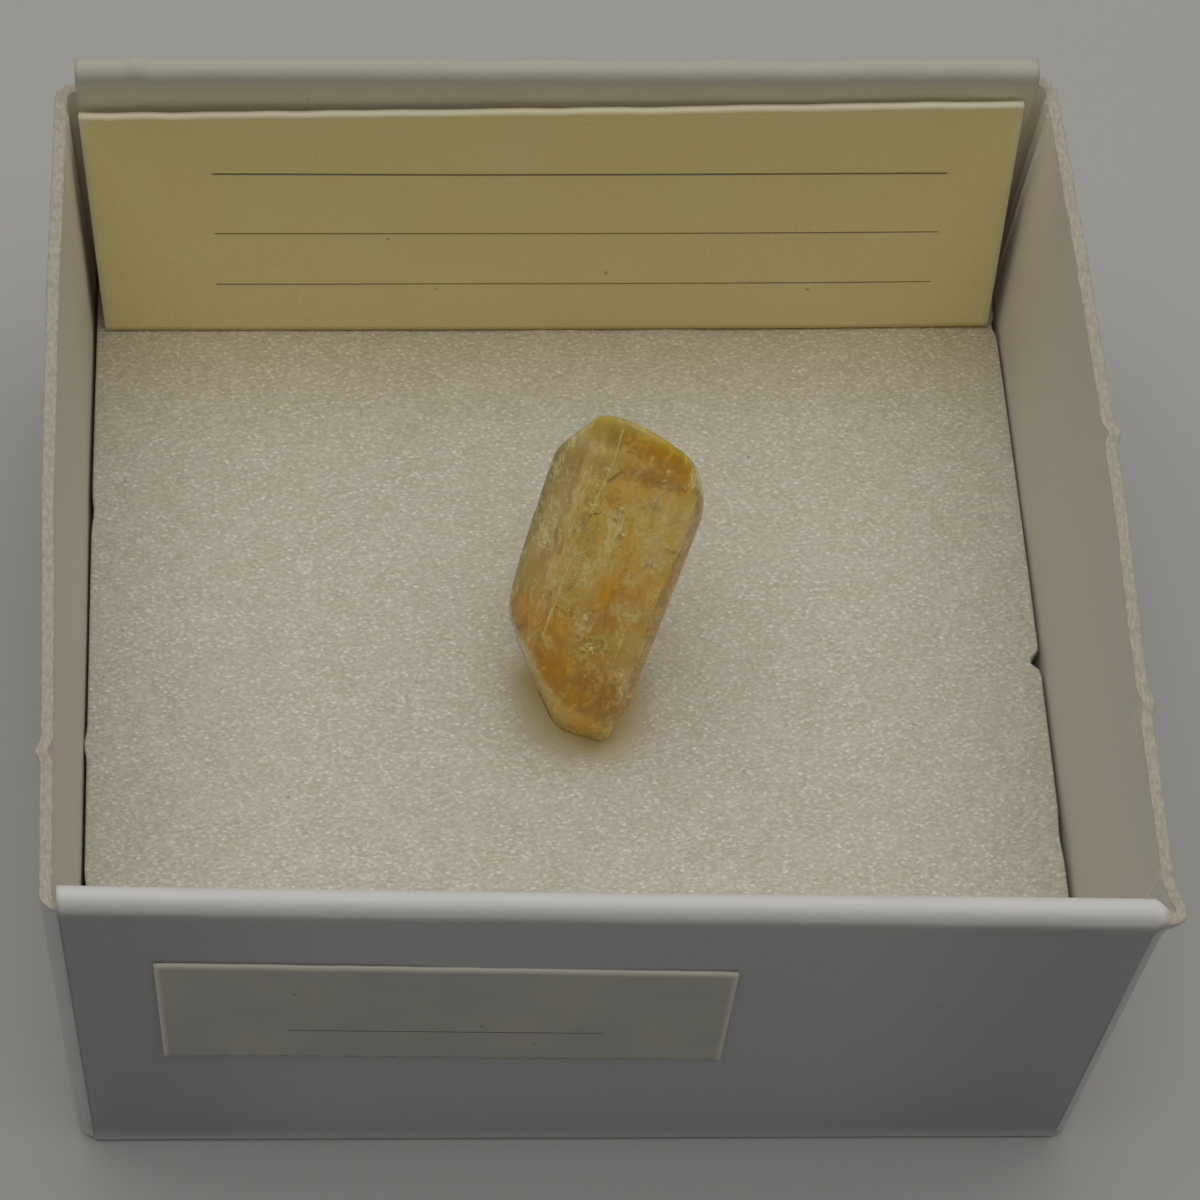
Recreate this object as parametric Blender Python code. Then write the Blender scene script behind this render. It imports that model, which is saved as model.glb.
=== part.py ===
"""A topaz crystal pushed into the foam pad of a small folded card specimen box.

The box stands on its base. A blank card label leans on its back wall, and a blank paper label
is stuck to its front wall. The origin is the centre of the base's underside, -Y is the front.
"""

import math
import random

import bmesh
import bpy
from mathutils import Matrix, Vector

MM = 0.001

# Card tray: outer size at the base, and what the card itself measures.
BOX_WIDTH = 40.0 * MM
BOX_DEPTH = 39.2 * MM
CARD = 0.5 * MM
DOUBLE_WALL = 1.2 * MM
BASE_FOLD = 0.3 * MM
CORNER_FOLD = 0.8 * MM
LAP_STEP = 0.1 * MM
FRONT_HEIGHT = 19.05 * MM
BACK_HEIGHT = 20.4 * MM
LEFT_HEIGHT = 18.5 * MM
RIGHT_HEIGHT = 19.1 * MM
FRONT_PANEL_WIDTH = 38.7 * MM
BACK_PANEL_WIDTH = 38.2 * MM
PANEL_END_STEP = 0.03 * MM
PANEL_RIM_SQUARENESS = 1.0
SIDE_RIM_SQUARENESS = 0.35
CORNER_BENDS = 5
WALL_DIVISIONS = 12
WALL_LEVELS = 4
RIM_ARC = 6
SHARP_EDGE = math.radians(35)

# How the handled card has moved: outward at the rim, inward at the front, out of square in plan.
FLARE_LEFT = (0.25 * MM, 0.71 * MM)
FLARE_RIGHT = (0.8 * MM, 0.64 * MM)
BOW_LEFT = 0.2 * MM
BOW_RIGHT = 0.35 * MM
FRONT_LEAN = 0.98 * MM
FRONT_LEAN_TWIST = 0.32 * MM
BACK_LEAN = 0.1 * MM
PLAN_SKEW = 0.4 * MM

# Foam pad and the pocket that the crystal's lower end has pressed into it.
FOAM_TOP = 7.0 * MM
FOAM_SIDE_GAP = 0.25 * MM
FOAM_FLOOR_GAP = 0.2 * MM
FOAM_EDGE_CUTS = 8
POCKET_GAP = 0.18 * MM
POCKET_DETAIL = 0.2 * MM

# Crystal: where its axis meets the foam, how it leans, and its cross-section's corners.
CRYSTAL_FOOT = (-0.87 * MM, -4.31 * MM, 7.24 * MM)
CRYSTAL_LEAN = math.radians(38.0)
CRYSTAL_TURN = math.radians(-27.2)
CRYSTAL_SPIN = math.radians(9.35)
CRYSTAL_TOP = 13.9 * MM
CRYSTAL_BOTTOM = -1.6 * MM
RIGHT_TAPER = 0.12
PRISM_CORNERS = (
    (-3.35, 0.3),
    (-1.25, -2.1),
    (0.9, -2.35),
    (2.7, -1.4),
    (3.3, 0.1),
    (2.45, 2.0),
    (-0.2, 2.5),
    (-2.4, 1.7),
)
STRIATION_WIDTH = 0.36 * MM
STRIATION_DEPTH = 0.09 * MM
STRIATION_FLANK = 0.035 * MM
STRIATION_JITTER = 0.28
LEDGE_COUNT = 9
LEDGE_RAMP = 0.12 * MM
LEDGE_DEPTH = 0.07 * MM
LEDGE_CHANCE = 0.2
PIT_COUNT = 14
PIT_BORDER = 0.07 * MM
PIT_DEPTH = 0.12 * MM
SEED = 11

# Labels.
CARD_LABEL_HALF_WIDTH = 19.25 * MM
CARD_LABEL_LEFT_SLANT = 0.5 * MM
CARD_LABEL_LENGTH = (11.55 * MM, 12.2 * MM)
CARD_LABEL_THICKNESS = 0.3 * MM
CARD_LABEL_LEAN = math.radians(-13.5)
CARD_LABEL_FOOT_Y = 15.25 * MM
CARD_LABEL_GRID = (6, 4)
PAPER_LABEL_LEFT = -16.15 * MM
PAPER_LABEL_RIGHT = 5.0 * MM
PAPER_LABEL_BOTTOM = 7.8 * MM
PAPER_LABEL_TOP = 15.0 * MM
PAPER_LABEL_DROP = 0.2 * MM
PAPER_THICKNESS = 0.12 * MM
PAPER_GAP = 0.04 * MM
PAPER_LABEL_GRID = (8, 3)
REST_GAP = 0.15 * MM


def clear_scene():
    for old in list(bpy.data.objects):
        bpy.data.objects.remove(old, do_unlink=True)


def plain_material(name, colour, roughness, transmission=0.0, ior=1.5):
    material = bpy.data.materials.new(name)
    material.use_nodes = True
    shader = material.node_tree.nodes["Principled BSDF"]
    shader.inputs["Base Color"].default_value = (*colour, 1.0)
    shader.inputs["Roughness"].default_value = roughness
    shader.inputs["Metallic"].default_value = 0.0
    shader.inputs["Transmission Weight"].default_value = transmission
    shader.inputs["IOR"].default_value = ior
    material.diffuse_color = (*colour, 1.0)
    return material


def new_object(name, points, faces, material):
    mesh = bpy.data.meshes.new(name)
    mesh.from_pydata([tuple(p) for p in points], [], faces)
    mesh.update()
    mesh.materials.append(material)
    piece = bpy.data.objects.new(name, mesh)
    bpy.context.scene.collection.objects.link(piece)
    return piece


def between(low, high, share):
    return low + (high - low) * share


def flexed(x, y, z):
    """Where a point of the square, upright box lies once the card has flexed."""
    across = x / (BOX_WIDTH / 2)
    along = y / (BOX_DEPTH / 2)
    to_back = min(max((along + 1) / 2, 0.0), 1.0)
    up = z / FRONT_HEIGHT
    flare = FLARE_LEFT if x < 0 else FLARE_RIGHT
    bow = BOW_LEFT if x < 0 else BOW_RIGHT
    swell = bow * math.sin(math.pi * to_back**1.4)
    outward = between(flare[0], flare[1], to_back) + swell * abs(across) ** 3
    lean = FRONT_LEAN - FRONT_LEAN_TWIST * across if along < 0 else BACK_LEAN
    return (
        x + across * outward * up,
        y + lean * along**2 * up - PLAN_SKEW * across * (1 - to_back),
        z,
    )


def corner_stations(sign_x, sign_y, panel_width, panel_height, side_height):
    """Plan stations of one corner, from the panel's end to the start of the side wall.

    Each is (outer point, inner point, height, rim rise, rim squareness): the panel's end, then the
    single card that runs out from between its layers, bends round the corner and becomes the side.
    """
    half_width = BOX_WIDTH / 2
    half_depth = BOX_DEPTH / 2
    end = panel_width / 2
    step = PANEL_END_STEP
    panel_rim = (panel_height, DOUBLE_WALL / 2, PANEL_RIM_SQUARENESS)
    side_rim = (side_height, CARD / 3, SIDE_RIM_SQUARENESS)
    stations = [((end - step, half_depth), (end - step, half_depth - DOUBLE_WALL), *panel_rim)]
    lap_outer = half_depth - LAP_STEP
    flat_end = half_width - CORNER_FOLD
    bend_inner = CORNER_FOLD - CARD
    stations.append(((min(end + step, flat_end), lap_outer), (end + step, lap_outer - CARD), *side_rim))
    centre = (flat_end, lap_outer - CORNER_FOLD)
    for i in range(1, CORNER_BENDS + 1):
        angle = math.radians(90 - 90 * i / CORNER_BENDS)
        direction = (math.cos(angle), math.sin(angle))
        outer = (centre[0] + CORNER_FOLD * direction[0], centre[1] + CORNER_FOLD * direction[1])
        inner = (centre[0] + bend_inner * direction[0], centre[1] + bend_inner * direction[1])
        inner = (max(inner[0], end + step * (1 + i)), inner[1])
        stations.append((outer, inner, *side_rim))
    placed = []
    for outer, inner, height, rise, square in stations:
        placed.append(
            (
                (sign_x * outer[0], sign_y * outer[1]),
                (sign_x * inner[0], sign_y * inner[1]),
                height,
                rise,
                square,
            )
        )
    return placed


def straight_stations(first, last, count):
    """Stations evenly spaced between two given ones, which are left out."""
    stations = []
    for i in range(1, count):
        share = i / count
        outer = tuple(between(a, b, share) for a, b in zip(first[0], last[0]))
        inner = tuple(between(a, b, share) for a, b in zip(first[1], last[1]))
        height = between(first[2], last[2], share)
        stations.append((outer, inner, height, first[3], first[4]))
    return stations


def tray_stations():
    """All stations in order round the box, starting at the front panel's right end."""
    front = (FRONT_PANEL_WIDTH, FRONT_HEIGHT)
    back = (BACK_PANEL_WIDTH, BACK_HEIGHT)
    corners = [
        corner_stations(1, -1, *front, RIGHT_HEIGHT),
        corner_stations(1, 1, *back, RIGHT_HEIGHT)[::-1],
        corner_stations(-1, 1, *back, LEFT_HEIGHT),
        corner_stations(-1, -1, *front, LEFT_HEIGHT)[::-1],
    ]
    stations = []
    for i, corner in enumerate(corners):
        following = corners[(i + 1) % 4]
        stations.extend(corner)
        stations.extend(straight_stations(corner[-1], following[0], WALL_DIVISIONS))
    return stations


def tray_section(outer, inner, height, rise, square):
    """Points of one upright section: up the outside, over the rim and down the inside."""
    outer = Vector(outer)
    inner = Vector(inner)
    inward = (inner - outer).normalized()
    points = []
    for inset, z in ((1.0, 0.0), (0.3, 0.3), (0.0, 1.0)):
        at = outer + inward * BASE_FOLD * inset
        points.append((at.x, at.y, BASE_FOLD * z))
    shoulder = height - rise
    for i in range(1, WALL_LEVELS):
        points.append((outer.x, outer.y, between(BASE_FOLD, shoulder, i / WALL_LEVELS)))
    middle = (outer + inner) / 2
    half = (outer - inner) / 2
    for i in range(RIM_ARC + 1):
        angle = math.pi * i / RIM_ARC
        side = math.cos(angle)
        across = math.copysign(abs(side) ** square, side) if abs(side) > 1e-6 else 0.0
        at = middle + half * across
        points.append((at.x, at.y, shoulder + rise * max(math.sin(angle), 0.0) ** square))
    for i in reversed(range(WALL_LEVELS)):
        points.append((inner.x, inner.y, between(CARD, shoulder, i / WALL_LEVELS)))
    return points


def make_tray(material):
    sections = [tray_section(*station) for station in tray_stations()]
    rows = len(sections[0])
    points = [flexed(*point) for section in sections for point in section]
    faces = []
    for i in range(len(sections)):
        here = i * rows
        after = (i + 1) % len(sections) * rows
        for j in range(rows - 1):
            faces.append((here + j, after + j, after + j + 1, here + j + 1))
    faces.append([i * rows for i in reversed(range(len(sections)))])
    faces.append([i * rows + rows - 1 for i in range(len(sections))])
    tray = new_object("card_tray", points, faces, material)
    tray.data.shade_smooth()
    tray.data.set_sharp_from_angle(angle=SHARP_EDGE)
    return tray


def make_foam(crystal, material):
    """A cut square of foam, less the pocket that the crystal's lower end has pressed into it."""
    half_x = BOX_WIDTH / 2 - CARD - FOAM_SIDE_GAP
    half_y = BOX_DEPTH / 2 - DOUBLE_WALL - FOAM_SIDE_GAP
    corners = ((-half_x, -half_y), (half_x, -half_y), (half_x, half_y), (-half_x, half_y))
    outline = []
    for k, start in enumerate(corners):
        end = corners[(k + 1) % len(corners)]
        for i in range(FOAM_EDGE_CUTS):
            outline.append(tuple(between(a, b, i / FOAM_EDGE_CUTS) for a, b in zip(start, end)))
    count = len(outline)
    points = [flexed(x, y, z) for z in (CARD + FOAM_FLOOR_GAP, FOAM_TOP) for x, y in outline]
    faces = [(k, (k + 1) % count, count + (k + 1) % count, count + k) for k in range(count)]
    faces.append([k for k in reversed(range(count))])
    faces.append([count + k for k in range(count)])
    foam = new_object("foam_pad", points, faces, material)
    pocket = foam.modifiers.new("pocket", "BOOLEAN")
    pocket.operation = "DIFFERENCE"
    pocket.solver = "EXACT"
    pocket.object = pocket_cutter(crystal)
    return foam


def hull_of(points):
    """The convex hull of the points as a bmesh."""
    shape = bmesh.new()
    for point in points:
        shape.verts.new(point)
    hull = bmesh.ops.convex_hull(shape, input=shape.verts)
    inside = {v for v in hull["geom_interior"] if isinstance(v, bmesh.types.BMVert)}
    bmesh.ops.delete(shape, geom=list(inside), context="VERTS")
    bmesh.ops.recalc_face_normals(shape, faces=shape.faces)
    shape.normal_update()
    return shape


def pocket_cutter(crystal):
    """The crystal's hull, grown by the pocket's gap: a guide that only cuts the foam."""
    shape = hull_of([v.co for v in crystal.data.vertices])
    bmesh.ops.remove_doubles(shape, verts=shape.verts, dist=POCKET_DETAIL)
    shape.normal_update()
    grown = [v.co + v.normal * POCKET_GAP for v in shape.verts]
    shape.free()
    shape = hull_of(grown)
    mesh = bpy.data.meshes.new("pocket_cutter")
    shape.to_mesh(mesh)
    shape.free()
    cutter = bpy.data.objects.new("pocket_cutter", mesh)
    bpy.context.scene.collection.objects.link(cutter)
    cutter.location = crystal.location
    cutter.rotation_euler = crystal.rotation_euler
    cutter.hide_render = True
    cutter.display_type = "WIRE"
    return cutter


def outward_faces(piece):
    shape = bmesh.new()
    shape.from_mesh(piece.data)
    bmesh.ops.recalc_face_normals(shape, faces=shape.faces)
    shape.to_mesh(piece.data)
    shape.free()


def striated_outline(rng):
    """The prism's outline as strips: (point, outward normal, strip number), two points to a strip."""
    corners = [Vector(c) * MM for c in PRISM_CORNERS]
    outline = []
    strip = 0
    for i, start in enumerate(corners):
        end = corners[(i + 1) % len(corners)]
        run = end - start
        outward = Vector((run.y, -run.x)).normalized()
        count = max(3, round(run.length / STRIATION_WIDTH))
        jitter = STRIATION_JITTER
        cuts = [0.0] + [(k + rng.uniform(-jitter, jitter)) / count for k in range(1, count)] + [1.0]
        flank = STRIATION_FLANK / run.length
        for low, high in zip(cuts, cuts[1:]):
            outline.append((start + run * (low + flank), outward, strip))
            outline.append((start + run * (high - flank), outward, strip))
            strip += 1
    return outline, strip


def cut_flat(shape, point, normal):
    """Cuts the solid by a plane, keeps what lies behind it and closes the cut with a flat face."""
    cut = bmesh.ops.bisect_plane(
        shape,
        geom=shape.verts[:] + shape.edges[:] + shape.faces[:],
        dist=1e-8,
        plane_co=Vector(point) * MM,
        plane_no=Vector(normal).normalized(),
        clear_outer=True,
    )
    edges = [e for e in cut["geom_cut"] if isinstance(e, bmesh.types.BMEdge)]
    bmesh.ops.edgenet_fill(shape, edges=edges)


def ledge_levels(rng):
    """Heights of the rings: two close together at each ledge, where some strips step in or out."""
    levels = [CRYSTAL_BOTTOM - MM]
    for k in range(LEDGE_COUNT):
        middle = between(0.2 * MM, CRYSTAL_TOP - 0.6 * MM, (k + rng.uniform(0.2, 0.8)) / LEDGE_COUNT)
        levels.extend((middle, middle + LEDGE_RAMP))
    levels.append(CRYSTAL_TOP + MM)
    return levels


def make_crystal(material):
    """A striated prism with ledges and etched pits, its ends cut flat by the closing faces."""
    rng = random.Random(SEED)
    outline, strips = striated_outline(rng)
    height = [rng.uniform(-STRIATION_DEPTH, 0.0) for _ in range(strips)]
    shape = bmesh.new()
    rings = []
    for i, z in enumerate(ledge_levels(rng)):
        if i % 2 == 0 and i > 0:
            for s in range(strips):
                if rng.random() < LEDGE_CHANCE:
                    height[s] = rng.uniform(-STRIATION_DEPTH - LEDGE_DEPTH, 0.0)
        ring = []
        for point, outward, strip in outline:
            at = point + outward * height[strip]
            narrowing = 1 - RIGHT_TAPER * (1 - z / CRYSTAL_TOP) if at.x > 0 else 1
            ring.append(shape.verts.new((at.x * narrowing, at.y, z)))
        rings.append(ring)
    strip_faces = []
    for i in range(len(rings) - 1):
        for k in range(len(outline)):
            after = (k + 1) % len(outline)
            face = shape.faces.new((rings[i][k], rings[i][after], rings[i + 1][after], rings[i + 1][k]))
            if k % 2 == 0 and i % 2 == 0:
                strip_faces.append(face)
    shape.faces.new(list(reversed(rings[0])))
    shape.faces.new(rings[-1])
    pitted = rng.sample(strip_faces, PIT_COUNT)
    bmesh.ops.inset_individual(shape, faces=pitted, thickness=PIT_BORDER, depth=-PIT_DEPTH)
    for point, normal in end_faces():
        cut_flat(shape, point, normal)
    bmesh.ops.recalc_face_normals(shape, faces=shape.faces)
    mesh = bpy.data.meshes.new("topaz_crystal")
    shape.to_mesh(mesh)
    shape.free()
    mesh.materials.append(material)
    crystal = bpy.data.objects.new("topaz_crystal", mesh)
    bpy.context.scene.collection.objects.link(crystal)
    crystal.location = CRYSTAL_FOOT
    leaning = Matrix.Rotation(CRYSTAL_TURN, 3, "Z") @ Matrix.Rotation(-CRYSTAL_LEAN, 3, "X")
    crystal.rotation_euler = (leaning @ Matrix.Rotation(CRYSTAL_SPIN, 3, "Z")).to_euler()
    return crystal


def end_faces():
    """(point in mm, outward normal) of each face that closes the prism, in the crystal's own frame."""
    top = CRYSTAL_TOP / MM
    return (
        ((0.6, -2.3, top), (0.24, 0.45, 1.0)),
        ((-0.9, -2.1, top + 0.2), (-0.05, 0.42, 1.0)),
        ((2.42, -1.55, top - 0.9), (0.85, 0.25, 0.55)),
        ((2.95, 0.0, top - 2.5), (0.9, 0.05, 0.5)),
        ((2.85, -1.1, top - 1.8), (0.8, -0.55, 0.3)),
        ((-2.3, -0.92, top - 0.85), (-0.84, 0.25, 0.6)),
        ((0.0, -2.3, top - 0.3), (-0.05, -0.9, 0.45)),
        ((-0.6, 2.3, top - 1.9), (-0.1, 0.8, 0.6)),
        ((0.0, 0.0, 0.2), (-1.25, -0.6, -1.0)),
        ((1.2, 0.0, -0.3), (-0.05, -0.83, -1.0)),
        ((2.75, 0.0, 1.4), (0.95, -0.05, -0.3)),
        ((0.6, 2.3, 1.4), (-0.1, 0.86, -0.5)),
    )


def thin_sheet(name, size, grid, shaped, material):
    """A flat sheet on a grid, (width, length, thickness), each point put in place by shaped(x, y, z)."""
    width, length, thickness = size
    across, along = grid
    points = []
    for z in (0.0, thickness):
        for j in range(along + 1):
            for i in range(across + 1):
                points.append(shaped(width * (i / across - 0.5), length * j / along, z))
    faces = []
    layer = (across + 1) * (along + 1)
    for j in range(along):
        for i in range(across):
            a = j * (across + 1) + i
            b = a + across + 1
            faces.append((a, b, b + 1, a + 1))
            faces.append((layer + a, layer + a + 1, layer + b + 1, layer + b))
    border = [i for i in range(across + 1)]
    border += [j * (across + 1) + across for j in range(1, along + 1)]
    border += [along * (across + 1) + i for i in reversed(range(across))]
    border += [j * (across + 1) for j in reversed(range(1, along))]
    for a, b in zip(border, border[1:] + border[:1]):
        faces.append((a, b, layer + b, layer + a))
    sheet = new_object(name, points, faces, material)
    outward_faces(sheet)
    return sheet


def make_card_label(material):
    """The card label stands on the foam and leans back on the wall behind it.

    It was cut by hand: its left end is a little shorter, and slants outward towards the top.
    """
    lean = Matrix.Rotation(CARD_LABEL_LEAN, 4, "X")
    foot = Vector((0.0, CARD_LABEL_FOOT_Y, FOAM_TOP + REST_GAP))

    def shaped(x, y, z):
        to_right = x / (2 * CARD_LABEL_HALF_WIDTH) + 0.5
        slant = CARD_LABEL_LEFT_SLANT * y * (1 - to_right)
        length = between(*CARD_LABEL_LENGTH, to_right)
        return foot + lean @ Vector((x - slant, z, length * y))

    size = (2 * CARD_LABEL_HALF_WIDTH, 1.0, CARD_LABEL_THICKNESS)
    return thin_sheet("specimen_label", size, CARD_LABEL_GRID, shaped, material)


def make_paper_label(material):
    """The paper label follows the front wall, which leans and is a little out of square."""
    middle = (PAPER_LABEL_LEFT + PAPER_LABEL_RIGHT) / 2
    width = PAPER_LABEL_RIGHT - PAPER_LABEL_LEFT
    length = PAPER_LABEL_TOP - PAPER_LABEL_BOTTOM

    def shaped(x, y, z):
        at_y = -BOX_DEPTH / 2 - PAPER_GAP - PAPER_THICKNESS + z
        drop = PAPER_LABEL_DROP * (x / width + 0.5)
        return flexed(middle + x, at_y, PAPER_LABEL_BOTTOM + y - drop)

    size = (width, length, PAPER_THICKNESS)
    return thin_sheet("number_label", size, PAPER_LABEL_GRID, shaped, material)


def main():
    clear_scene()
    make_tray(plain_material("white card", (0.62, 0.62, 0.60), 0.75))
    crystal = make_crystal(plain_material("topaz", (0.86, 0.60, 0.28), 0.12, 0.9, 1.62))
    make_foam(crystal, plain_material("white foam", (0.80, 0.79, 0.74), 0.6))
    make_card_label(plain_material("cream card", (0.66, 0.59, 0.36), 0.8))
    make_paper_label(plain_material("off-white paper", (0.55, 0.54, 0.50), 0.85))


main()
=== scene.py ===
import math
import bpy
import numpy as np
from mathutils import Matrix, Vector


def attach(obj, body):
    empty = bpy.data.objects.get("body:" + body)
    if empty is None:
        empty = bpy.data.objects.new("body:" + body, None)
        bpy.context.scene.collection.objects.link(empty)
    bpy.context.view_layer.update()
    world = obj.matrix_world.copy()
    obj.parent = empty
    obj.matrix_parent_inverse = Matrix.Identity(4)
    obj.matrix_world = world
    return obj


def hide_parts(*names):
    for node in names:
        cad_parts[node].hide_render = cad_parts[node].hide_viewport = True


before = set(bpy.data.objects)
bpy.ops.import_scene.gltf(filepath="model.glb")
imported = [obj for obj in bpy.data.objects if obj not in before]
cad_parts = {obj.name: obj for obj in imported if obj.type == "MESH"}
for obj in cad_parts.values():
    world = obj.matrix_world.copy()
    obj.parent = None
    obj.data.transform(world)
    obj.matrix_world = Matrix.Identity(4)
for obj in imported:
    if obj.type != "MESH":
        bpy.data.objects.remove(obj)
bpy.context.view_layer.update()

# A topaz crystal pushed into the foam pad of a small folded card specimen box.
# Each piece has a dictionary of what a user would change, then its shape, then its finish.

mm = 0.001


# Numbers and noise, all on whole arrays

def easeStep(low, high, value):    # 0 below low, 1 above high, smooth between
    share = np.clip((value - low) / (high - low), 0, 1)
    return share * share * (3 - 2 * share)


def hump(value, centre, width):    # a bell of height 1
    return np.exp(-((value - centre) / width) ** 2)


def lattice(across, along, seed):    # smooth random waves between -1 and 1, one unit apart
    table = np.random.default_rng(seed).uniform(-1, 1, (256, 256))
    column = np.floor(across).astype(int)
    row = np.floor(along).astype(int)
    u = easeStep(0, 1, across - column)
    v = easeStep(0, 1, along - row)
    near = table[row % 256, column % 256] * (1 - u) + table[row % 256, (column + 1) % 256] * u
    far = table[(row + 1) % 256, column % 256] * (1 - u) + table[(row + 1) % 256, (column + 1) % 256] * u
    return near * (1 - v) + far * v


def roughLattice(across, along, seed, layers=3):    # waves, each layer half as wide and as high
    total = 0
    for layer in range(layers):
        total = total + lattice(across * 2 ** layer, along * 2 ** layer, seed + layer) / 2 ** layer
    return total


def unit(vectors):
    vectors = np.asarray(vectors, float)
    return vectors / np.linalg.norm(vectors, axis=-1, keepdims=True)


# Meshes from grids of points

def gridFaces(rows, columns, wrap, start=0):    # four corners of each cell, row by row
    number = start + np.arange(rows * columns).reshape(rows, columns)
    if wrap:
        number = np.hstack([number, number[:, :1]])
    cells = (number[:-1, :-1], number[:-1, 1:], number[1:, 1:], number[1:, :-1])
    return np.stack(cells, -1).reshape(-1, 4)


def newPiece(name, points, quads, triangles, finish, notes=None):    # notes are values kept at each point
    mesh = bpy.data.meshes.new(name)
    corners = np.concatenate([quads.ravel(), triangles.ravel()]).astype(np.int32)
    sizes = np.concatenate([np.full(len(quads), 4), np.full(len(triangles), 3)])
    starts = np.concatenate([[0], np.cumsum(sizes)[:-1]])
    mesh.vertices.add(len(points))
    mesh.vertices.foreach_set("co", np.asarray(points, np.float32).ravel())
    mesh.loops.add(len(corners))
    mesh.loops.foreach_set("vertex_index", corners)
    mesh.polygons.add(len(sizes))
    mesh.polygons.foreach_set("loop_start", starts.astype(np.int32))
    mesh.polygons.foreach_set("use_smooth", np.ones(len(sizes), bool))
    mesh.update(calc_edges=True)
    for key, values in (notes or {}).items():
        values = np.asarray(values, np.float32)
        kind = "FLOAT_VECTOR" if values.ndim == 2 else "FLOAT"
        field = "vector" if values.ndim == 2 else "value"
        mesh.attributes.new(key, kind, "POINT").data.foreach_set(field, values.ravel())
    mesh.materials.append(finish)
    piece = bpy.data.objects.new(name, mesh)
    bpy.context.scene.collection.objects.link(piece)
    return piece


def closedRings(rings, firstPole, lastPole):    # a skin of stacked rings, each end shut by a fan
    rows, columns = rings.shape[:2]
    points = np.vstack([rings.reshape(-1, 3), firstPole, lastPole])
    quads = gridFaces(rows, columns, True)
    here = np.arange(columns)
    after = (here + 1) % columns
    last = (rows - 1) * columns
    firstFan = np.stack([after, here, np.full(columns, rows * columns)], -1)
    lastFan = np.stack([last + here, last + after, np.full(columns, rows * columns + 1)], -1)
    return points, quads, np.vstack([firstFan, lastFan])


def ringNotes(values, firstPole=0.0, lastPole=0.0):    # a value for each ring point, then for the two poles
    return np.concatenate([np.asarray(values).ravel(), [firstPole, lastPole]])


def thinSheet(thickness, across, along):
    # a sheet 1 by 1 on a grid: two faces a thickness apart, joined by a row of quads round the edge
    u, v = np.meshgrid(np.linspace(-0.5, 0.5, across + 1), np.linspace(0, 1, along + 1))
    layers = [np.stack([u, v, np.full_like(u, z)], -1).reshape(-1, 3) for z in (0, thickness)]
    count = layers[0].shape[0]
    number = np.arange(count).reshape(along + 1, across + 1)
    border = np.concatenate([number[0], number[1:, -1], number[-1, -2::-1], number[-2:0:-1, 0]])
    after = np.roll(border, -1)
    rim = np.stack([border, after, after + count, border + count], -1)
    low = gridFaces(along + 1, across + 1, False)[:, ::-1]
    high = gridFaces(along + 1, across + 1, False, count)
    return np.vstack(layers), np.vstack([low, high, rim])


# Finishes: a wire is one node's output, and arithmetic on wires adds Math nodes

class Wire:
    def __init__(self, paint, socket):
        self.paint = paint
        self.socket = socket

    def calc(self, operation, *others):
        return self.paint.calc(operation, self, *others)

    def __add__(self, other):
        return self.calc("ADD", other)

    def __sub__(self, other):
        return self.calc("SUBTRACT", other)

    def __mul__(self, other):
        return self.calc("MULTIPLY", other)

    def __pow__(self, other):
        return self.calc("POWER", other)

    def __radd__(self, other):
        return self.paint.calc("ADD", other, self)

    def __rsub__(self, other):
        return self.paint.calc("SUBTRACT", other, self)

    def __rmul__(self, other):
        return self.paint.calc("MULTIPLY", other, self)


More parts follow.
